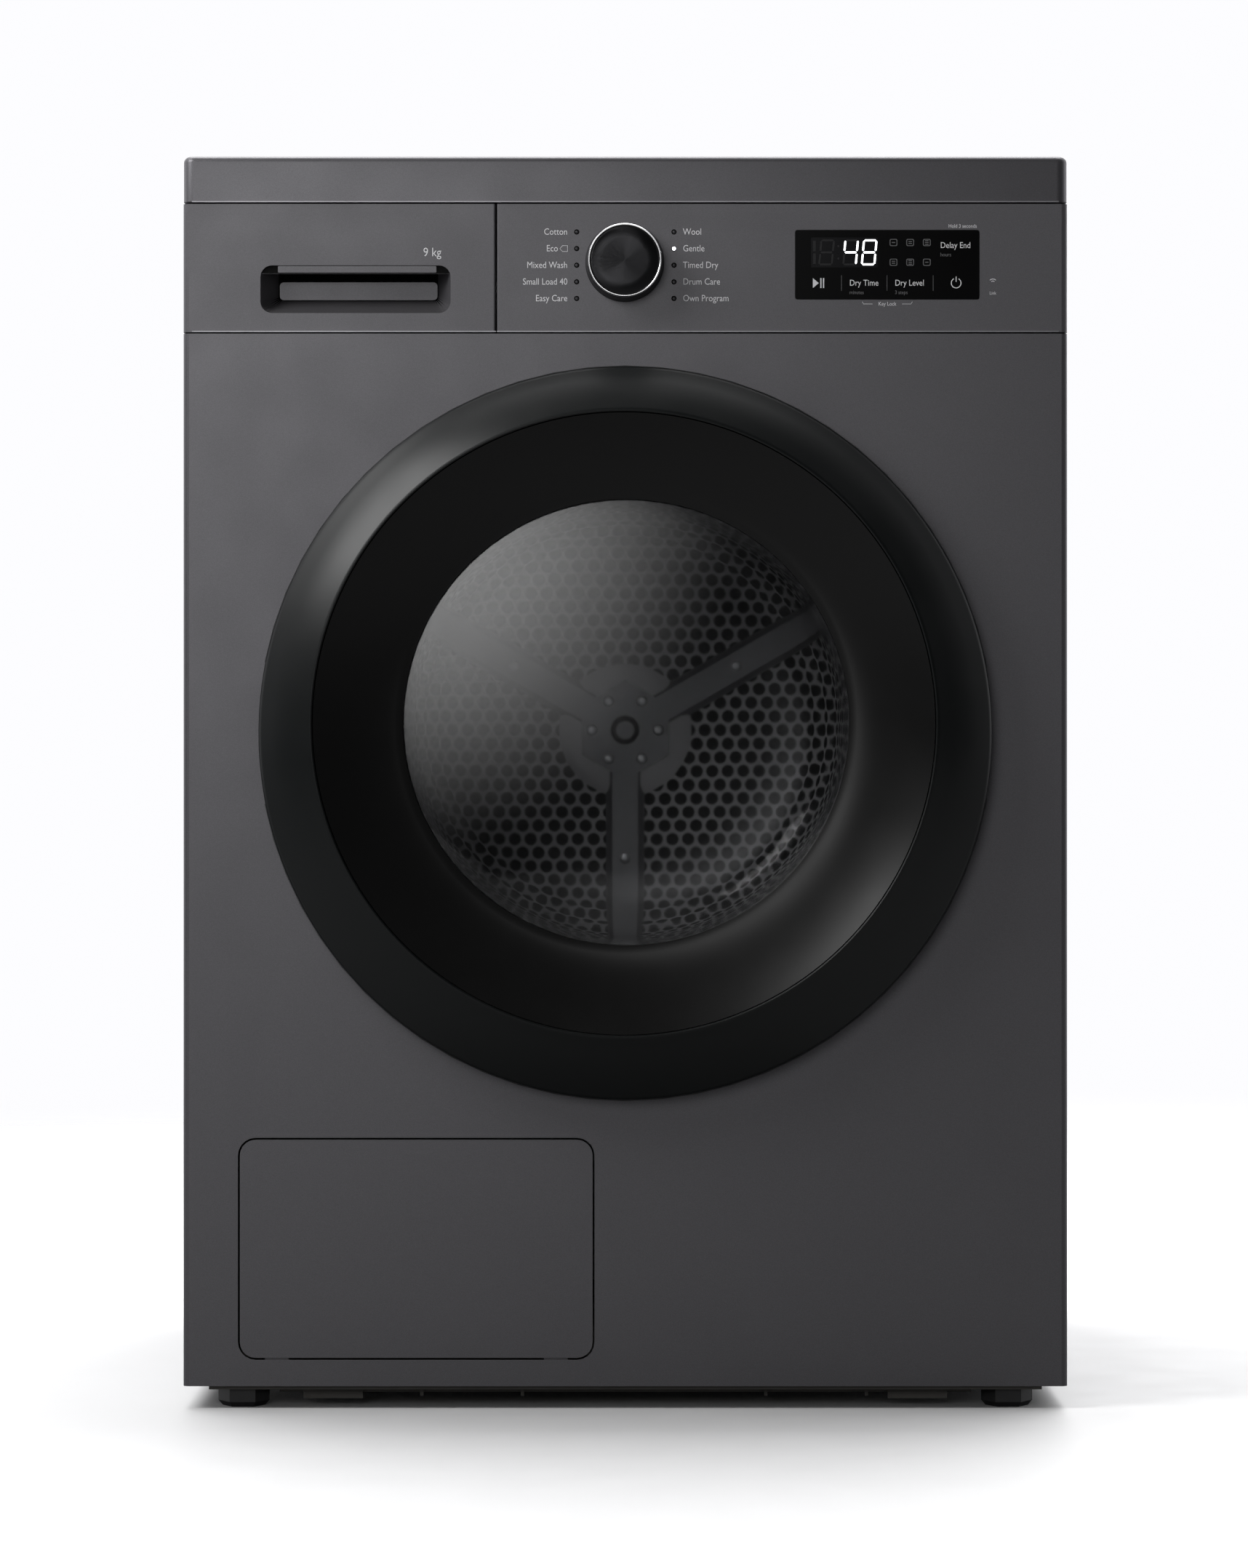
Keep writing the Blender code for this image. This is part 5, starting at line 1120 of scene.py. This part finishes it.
    def grip(self):
        """A cup for the fingers lined with painted shade, with a panel in the cabinet's colour at its back
        and a bar on top.
        """
        left, right, low, high = -0.2476, -0.1185, 0.7434, 0.7758
        stages = []
        for share in (0.0, 0.04, 0.35, 0.7, 0.96, 1.0):
            a = left + 0.00015 + (0.0111 - 0.0003) * share
            b = right - 0.00015 - (0.0095 - 0.0003) * share
            bottom = low + 0.00015 + (0.0106 - 0.0003) * share
            outline = rounded(a, b, bottom, high - 0.0001 + 0.0028 * share, 0.0077 - 0.0045 * share, 6)
            stages.append((outline, FRONT_Y + 0.0004 + 0.0238 * share))
        shape = loft(stages, "y", False)
        rows = len(stages[0][0])
        shape.verts.ensure_lookup_table()
        shape.faces.new(shape.verts[-rows:])
        piece("grip_cup", shape, "shade_black", "tank")
        y = FRONT_Y + 0.0238
        plate = rounded(-0.2358, -0.1282, 0.7542, 0.7664, 0.0028, 4)
        piece("grip_back", prism(plate, "y", y - 0.0014, y, 0.0004), "fascia", "tank")
        # A black plate under the top lip, painted shade behind the bar.
        shade = arc(right - 0.0080, high - 0.0080, 0.0078, 20, 90, 6)
        shade += arc(left + 0.0080, high - 0.0080, 0.0078, 90, 160, 6)
        shape = prism(shade, "y", FRONT_Y + 0.0007, FRONT_Y + 0.0011)
        piece("grip_shade", shape, "shade_black", "tank")
        bar = rounded(-0.2357, -0.1282, 0.7709, 0.7754, 0.0007, 3)
        shape = prism(bar, "y", FRONT_Y + 0.0002, FRONT_Y + 0.0030, 0.0003)
        piece("grip_bar", shape, "fascia", "tank")


class DRYER_OT_screen(bpy.types.Operator):
    """The gloss display with its digits, keys and small signs"""

    bl_idname = "dryer.screen"
    bl_label = "Display"

    def execute(self, context):
        low, high, y = SCREEN_LOW, SCREEN_HIGH, FRONT_Y
        outline = rounded(low.x, high.x, low.z, high.z, 0.0015, 4)
        shape = prism(outline, "y", y, high.y, 0.0003)
        piece("screen", shape, "gloss_black", "cabinet", ["display_window"])
        field = rounded(low.x + 0.0107, low.x + 0.0561, low.z + 0.0216, low.z + 0.0419, 0.0008, 3)
        piece(
            "digit_field", prism(field, "y", y - 0.00005, y + 0.0002), "screen_field", "cabinet",
        )
        self.digits(low, y)
        self.signs(low, y)
        return {"FINISHED"}

    def digit(self, value, x, z, wide, tall, y):
        """Seven leaning segments. value names the ones that are lit."""
        lit_shapes, dim_shapes = [], []
        bar, gap = wide * 0.13, 0.0002
        places = {
            "a": (x, z + tall / 2 - bar / 2, True),
            "g": (x, z, True),
            "d": (x, z - tall / 2 + bar / 2, True),
            "f": (x - wide / 2 + bar / 2, z + tall / 4, False),
            "b": (x + wide / 2 - bar / 2, z + tall / 4, False),
            "e": (x - wide / 2 + bar / 2, z - tall / 4, False),
            "c": (x + wide / 2 - bar / 2, z - tall / 4, False),
        }
        for name, (cx, cz, level) in places.items():
            reach = (wide if level else tall / 2) / 2 - bar / 2 - gap
            h = bar / 2
            outline = [
                (-reach, 0), (-reach + h, -h), (reach - h, -h), (reach, 0), (reach - h, h), (-reach + h, h)
            ]
            if not level:
                outline = [(b, a) for a, b in outline]
            lean = [(cx + u + (cz + v - z) * 0.09, cz + v) for u, v in outline]
            shape = prism(lean, "y", y - 0.00012, y)
            (lit_shapes if name in value else dim_shapes).append(shape)
        return lit_shapes, dim_shapes

    def digits(self, low, y):
        mid = low.z + 0.0318
        bright, dim = [], []
        cells = [
            ("fgbc", low.x + 0.0375, 0.0098), ("abcdefg", low.x + 0.0501, 0.0098),
            ("", low.x + 0.0212, 0.0098),
        ]
        for value, x, wide in cells:
            on, off = self.digit(value, x, mid, wide, 0.0176, y)
            bright += on
            dim += off
        marks = ((0.0042, 0.0286, 0.0298, 0.0006, 0.0002), (0.0043, 0.0120, 0.0138, 0.0036, 0.0003))
        for rise, left, right, half, corner in marks:
            for z in (mid + rise, mid - rise):
                outline = rounded(low.x + left, low.x + right, z - half, z + half, corner, 2)
                dim.append(flat(outline, y))
        piece("digits_on", together(bright), "glow", "cabinet")
        piece("digits_off", together(dim), "digit_dim", "cabinet")

    def signs(self, low, y):
        dim, ink = [], []
        for row in range(2):
            for column in range(3):
                x, z = low.x + 0.0666 + 0.0113 * column, low.z + 0.0385 - 0.0134 * row
                frame_out = rounded(x - 0.0026, x + 0.0026, z - 0.0024, z + 0.0024, 0.0010, 3)
                bars = 1 + (row + column) % 3
                dim.append(self.outline_ring(frame_out, x, z, 0.80, y))
                for k in range(bars):
                    h = z + (k - (bars - 1) / 2) * 0.0013
                    dim.append(flat(rounded(x - 0.0012, x + 0.0012, h - 0.0003, h + 0.0003, 0.0001, 1), y))
        base = low.z + 0.0110
        for shapes, words, across, z, height in (
            (ink, "Delay End", 0.0983, low.z + 0.0365, 0.0041),
            (dim, "hours", 0.0983, low.z + 0.0302, 0.0026),
            (ink, "Dry Time", 0.0367, base, 0.0041),
            (dim, "minutes", 0.0367, base - 0.0064, 0.0025),
            (ink, "Dry Level", 0.0675, base, 0.0041),
            (dim, "3 steps", 0.0675, base - 0.0064, 0.0025),
        ):
            shapes.append(lettering(words, low.x + across, z, height, "LEFT", y))
        x = low.x + 0.0119
        ink.append(flat([(x, base - 0.0034), (x + 0.0040, base), (x, base + 0.0034)], y))
        for left in (x + 0.0050, x + 0.0068):
            ink.append(slab((left, y - 0.0001, base - 0.0034), (left + 0.0009, y, base + 0.0034)))
        for across in (0.0313, 0.0622, 0.0935):
            x = low.x + across
            dim.append(slab((x - 0.00015, y - 0.0001, base - 0.0052), (x + 0.00015, y, base + 0.0052)))
        cx = low.x + 0.1091
        power = arc(cx, base, 0.0036, 118, 422, 36) + arc(cx, base, 0.0030, 422, 118, 36)
        ink.append(flat(power, y))
        ink.append(slab((cx - 0.0003, y - 0.0001, base + 0.0008), (cx + 0.0003, y, base + 0.0044)))
        piece("key_signs", together(ink), "print", "cabinet")
        piece("dim_signs", together(dim), "print_dim", "cabinet")

    def outline_ring(self, outline, x, z, share, y):
        """A thin band that follows an outline."""
        inner = [(x + (u - x) * share, z + (v - z) * share) for u, v in outline]
        shape = bmesh.new()
        rows = []
        for points, along in ((outline, y), (outline, y - 0.0001), (inner, y - 0.0001), (inner, y)):
            rows.append([shape.verts.new((u, along, v)) for u, v in points])
        return skin(shape, rows + rows[:1], False)


class DRYER_OT_cabinet(bpy.types.Operator):
    """The worktop, painted highlight strips on the front's lower edges, screws, pressed marks and the feet's
    collars
    """

    bl_idname = "dryer.cabinet"
    bl_label = "Cabinet Details"

    def execute(self, context):
        self.worktop()
        self.rear()
        self.below()
        self.flap()
        return {"FINISHED"}

    def worktop(self):
        """The board with its soft top edge, and thin lighter strips along the lower edges at the front,
        painted highlights where those edges catch light.
        """
        low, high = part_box("worktop")
        corner, soft = 0.0075, 0.0042

        def outline(inset):
            reach = max(corner - inset, 0.002)
            return rounded(low.x + inset, high.x - inset, low.y + inset, high.y - inset, reach, 8)

        stages = [(outline(0.0006), low.z), (outline(0.0), low.z + 0.0006)]
        for k in range(7):
            turn = math.radians(90 * k / 6)
            stages.append((outline(soft * (1 - math.cos(turn))), high.z - soft + soft * math.sin(turn)))
        piece("board", loft(stages, "z"), "graphite", "cabinet", ["worktop"], 40)
        highlight_strips = []
        for left, right, z in (
            (low.x, high.x, low.z), (low.x, SEAM_X - 0.0006, FASCIA_LOW), (SEAM_X, high.x, FASCIA_LOW)
        ):
            start = left + (0.006 if left == low.x else 0.0)
            end = right - (0.006 if right == high.x else 0.0)
            highlight_strips.append(
                slab((start, FRONT_Y - 0.00012, z + 0.0002), (end, FRONT_Y + 0.0004, z + 0.0009), 0.0001, 1)
            )
        piece("edge_highlights", together(highlight_strips), "edge_highlight", "cabinet")

    def rear(self):
        left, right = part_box("rear_panel")[0].x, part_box("rear_panel")[1].x
        low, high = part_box("rear_panel")[0].z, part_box("rear_panel")[1].z
        places = []
        for x in (left + 0.012, right - 0.012):
            for k in range(6):
                places.append((x, REAR_Y, low + 0.020 + (high - low - 0.040) * k / 5))
        for k in range(1, 4):
            places.append((left + (right - left) * k / 4, REAR_Y, high - 0.012))
        shape = screws(places, (0, 1, 0), 0.0044, 0.0018)
        piece("rear_screws", shape, "screw_steel", "cabinet")

    def below(self):
        """Hexagonal collars on the feet."""
        for name in FEET:
            low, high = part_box(name)
            x, y = (low.x + high.x) / 2, (low.y + high.y) / 2
            reach = (high.x - low.x) / 2
            nut = arc(x, y, reach * 0.72, 0, 300, 5)
            shape = prism(nut, "z", low.z + 0.0062, low.z + 0.0098, 0.0006)
            piece(f"{name}_nut", shape, "galvanised", name)

    def flap(self):
        """The pressed mark where the flap is pushed to open."""
        x = FLAP_LOW.x + 0.1206
        outline = rounded(x - 0.0098, x + 0.0098, FLAP_HIGH.z - 0.0098, FLAP_HIGH.z - 0.0072, 0.0012, 4)
        shape = prism(outline, "y", FLAP_LOW.y - 0.0001, FLAP_LOW.y + 0.0002, 0.00008, 1)
        piece("flap_mark", shape, "fascia", "flap")


class DRYER_OT_heat_unit(bpy.types.Operator):
    """Fins and tubes of the two heat exchangers in the base"""

    bl_idname = "dryer.heat_unit"
    bl_label = "Heat Unit"

    def execute(self, context):
        for name in ("evaporator", "condenser"):
            low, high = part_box(name)
            shapes = []
            count = 46
            for k in range(count):
                x = low.x + (high.x - low.x) * (k + 0.5) / count
                shapes.append(slab((x - 0.0004, low.y, low.z + 0.001), (x + 0.0004, high.y, high.z - 0.001)))
            for z in (low.z, high.z - 0.0012):
                shapes.append(slab((low.x, low.y, z), (high.x, high.y, z + 0.0012)))
            for x in (low.x, high.x - 0.0012):
                shapes.append(slab((x, low.y, low.z), (x + 0.0012, high.y, high.z)))
            piece(f"{name}_fins", together(shapes), "fins", "cabinet", [name])
            rows = []
            for k in range(5):
                z = low.z + (high.z - low.z) * (k + 0.5) / 5
                for y in (low.y + 0.012, high.y - 0.012):
                    rows.append(tube([(low.x + 0.0013, y, z), (high.x - 0.0013, y, z)], 0.0036, 10))
            piece(f"{name}_tubes", together(rows), "copper", "cabinet")
        return {"FINISHED"}


class DRYER_OT_stage(bpy.types.Operator):
    """A pale floor and backdrop, soft light from the upper left, and the camera"""

    bl_idname = "dryer.stage"
    bl_label = "Stage"

    def execute(self, context):
        self.ground()
        self.sky()
        self.lamp("key", (-1.25, -1.05, 1.62), (-0.10, -0.30, 0.60), 0.9, 0.9, 21.0)
        self.lamp("sheen", (-0.88, -4.3, 1.34), (-0.20, -0.30, 0.65), 2.8, 2.8, 102.0, soft=True)
        self.lamp("overhead", (0.0, 0.7, 2.9), (0.0, 0.4, 0.0), 2.6, 1.6, 60.0)
        self.lamp("behind", (1.2, 3.2, 1.8), (0.0, 0.3, 0.45), 1.8, 1.8, 30.0)
        camera = bpy.data.cameras.new("camera")
        camera.lens = CAMERA_LENS
        camera.sensor_width = CAMERA_SENSOR
        camera.clip_start = 0.05
        holder = in_scene("camera", camera)
        holder.location = (CAMERA_X, FRONT_Y - sizes().camera_distance, CAMERA_Z)
        holder.rotation_euler = (math.radians(90), 0, 0)
        bpy.context.scene.camera = holder
        bpy.context.scene.view_settings.view_transform = "Standard"
        return {"FINISHED"}

    def ground(self):
        """A round floor that thins out into the backdrop."""
        floor = tuple(colours().floor)
        look = {"rub": 0.0, "dust": 0.0, "drift": 0.03, "bump": 0.02}
        material = finish("stage_floor", floor, 0.6, look=look)
        tree = material.node_tree
        shader = tree.nodes["Principled BSDF"]
        place = here(tree)
        reach = add(tree, "VectorMath", {"operation": "LENGTH"}, i0=place).outputs["Value"]
        fade = add(
            tree, "MapRange", {"interpolation_type": "SMOOTHSTEP"}, Value=reach, i1=1.3, i2=3.6, i3=1.0,
            i4=0.0,
        )
        tree.links.new(fade.outputs[0], shader.inputs["Alpha"])
        dim = add(tree, "BsdfDiffuse", Color=(0.20, 0.20, 0.20, 1.0))
        seen = add(tree, "LightPath").outputs["Is Camera Ray"]
        both = add(tree, "MixShader", i0=seen, i1=dim.outputs[0], i2=shader.outputs[0])
        tree.links.new(both.outputs[0], tree.nodes["Material Output"].inputs["Surface"])
        shape = turned([(3.8, 0.0), (2.0, 0.0), (0.0, 0.0)], 0.0, 0.0, 64, closed=False)
        bmesh.ops.rotate(
            shape, cent=(0, 0, 0), matrix=Matrix.Rotation(math.radians(90), 3, "X"), verts=shape.verts
        )
        mesh = mesh_of("floor", shape)
        mesh.materials.append(material)
        in_scene("floor", mesh)

    def sky(self):
        """Bright behind the machine and dim in front of it, so the front takes its shading from the lamps."""
        world = bpy.data.worlds.new("sky")
        world.use_nodes = True
        tree = world.node_tree
        where = add(tree, "TexCoord").outputs["Generated"]
        along = add(tree, "SeparateXYZ", Vector=where).outputs["Y"]
        options = {"interpolation_type": "SMOOTHSTEP"}
        ramp = add(tree, "MapRange", options, Value=along, i1=-0.25, i2=0.22, i3=0.04, i4=1.3).outputs[0]
        seen = add(tree, "LightPath").outputs["Is Camera Ray"]
        level = add(tree, "Mix", {"data_type": "FLOAT"}, i0=seen, i2=ramp, i3=1.0).outputs[0]
        tree.links.new(level, tree.nodes["Background"].inputs["Strength"])
        tree.nodes["Background"].inputs["Color"].default_value = (0.98, 0.98, 1.0, 1.0)
        bpy.context.scene.world = world

    def lamp(self, name, place, target, wide, tall, power, soft=False):
        """A rectangular light. A soft one fades from its middle to its edges."""
        light = bpy.data.lights.new(name, "AREA")
        light.shape = "RECTANGLE"
        light.size, light.size_y = wide, tall
        light.energy = power
        if soft:
            light.use_nodes = True
            tree = light.node_tree
            across = add(tree, "NewGeometry").outputs["Parametric"]
            away = add(
                tree, "VectorMath", {"operation": "DISTANCE"}, i0=across, i1=(0.5, 0.5, 0.0)
            ).outputs["Value"]
            options = {"interpolation_type": "SMOOTHSTEP"}
            fade = add(tree, "MapRange", options, Value=away, i1=0.02, i2=0.49, i3=1.0, i4=0.0).outputs[0]
            tree.links.new(fade, tree.nodes["Emission"].inputs["Strength"])
        holder = in_scene(name, light)
        holder.location = place
        aim = Vector(target) - Vector(place)
        holder.rotation_euler = aim.to_track_quat("-Z", "Y").to_euler()
        holder.visible_camera = False


class DRYER_PT_panel(bpy.types.Panel):
    """Steps that dress the dryer, and what they take"""

    bl_idname = "DRYER_PT_panel"
    bl_label = "Clothes Dryer"
    bl_space_type = "VIEW_3D"
    bl_region_type = "UI"
    bl_category = "Dryer"

    def draw(self, context):
        column = self.layout.column()
        for group in (context.scene.dryer_sizes, context.scene.dryer_colours):
            for name in group.__annotations__:
                column.prop(group, name)
        for step in STEPS:
            column.operator(step.bl_idname)


STEPS = (
    DRYER_OT_finishes,
    DRYER_OT_cabinet,
    DRYER_OT_controls,
    DRYER_OT_screen,
    DRYER_OT_door,
    DRYER_OT_drum,
    DRYER_OT_mouth,
    DRYER_OT_heat_unit,
    DRYER_OT_stage,
)


def register():
    for kind in (DryerSizes, DryerColours, *STEPS, DRYER_PT_panel):
        bpy.utils.register_class(kind)
    bpy.types.Scene.dryer_sizes = PointerProperty(type=DryerSizes)
    bpy.types.Scene.dryer_colours = PointerProperty(type=DryerColours)


def unregister():
    del bpy.types.Scene.dryer_colours
    del bpy.types.Scene.dryer_sizes
    for kind in reversed((DryerSizes, DryerColours, *STEPS, DRYER_PT_panel)):
        bpy.utils.unregister_class(kind)


def main():
    register()
    for step in STEPS:
        group, name = step.bl_idname.split(".")
        getattr(getattr(bpy.ops, group), name)()


if __name__ == "__main__":
    main()
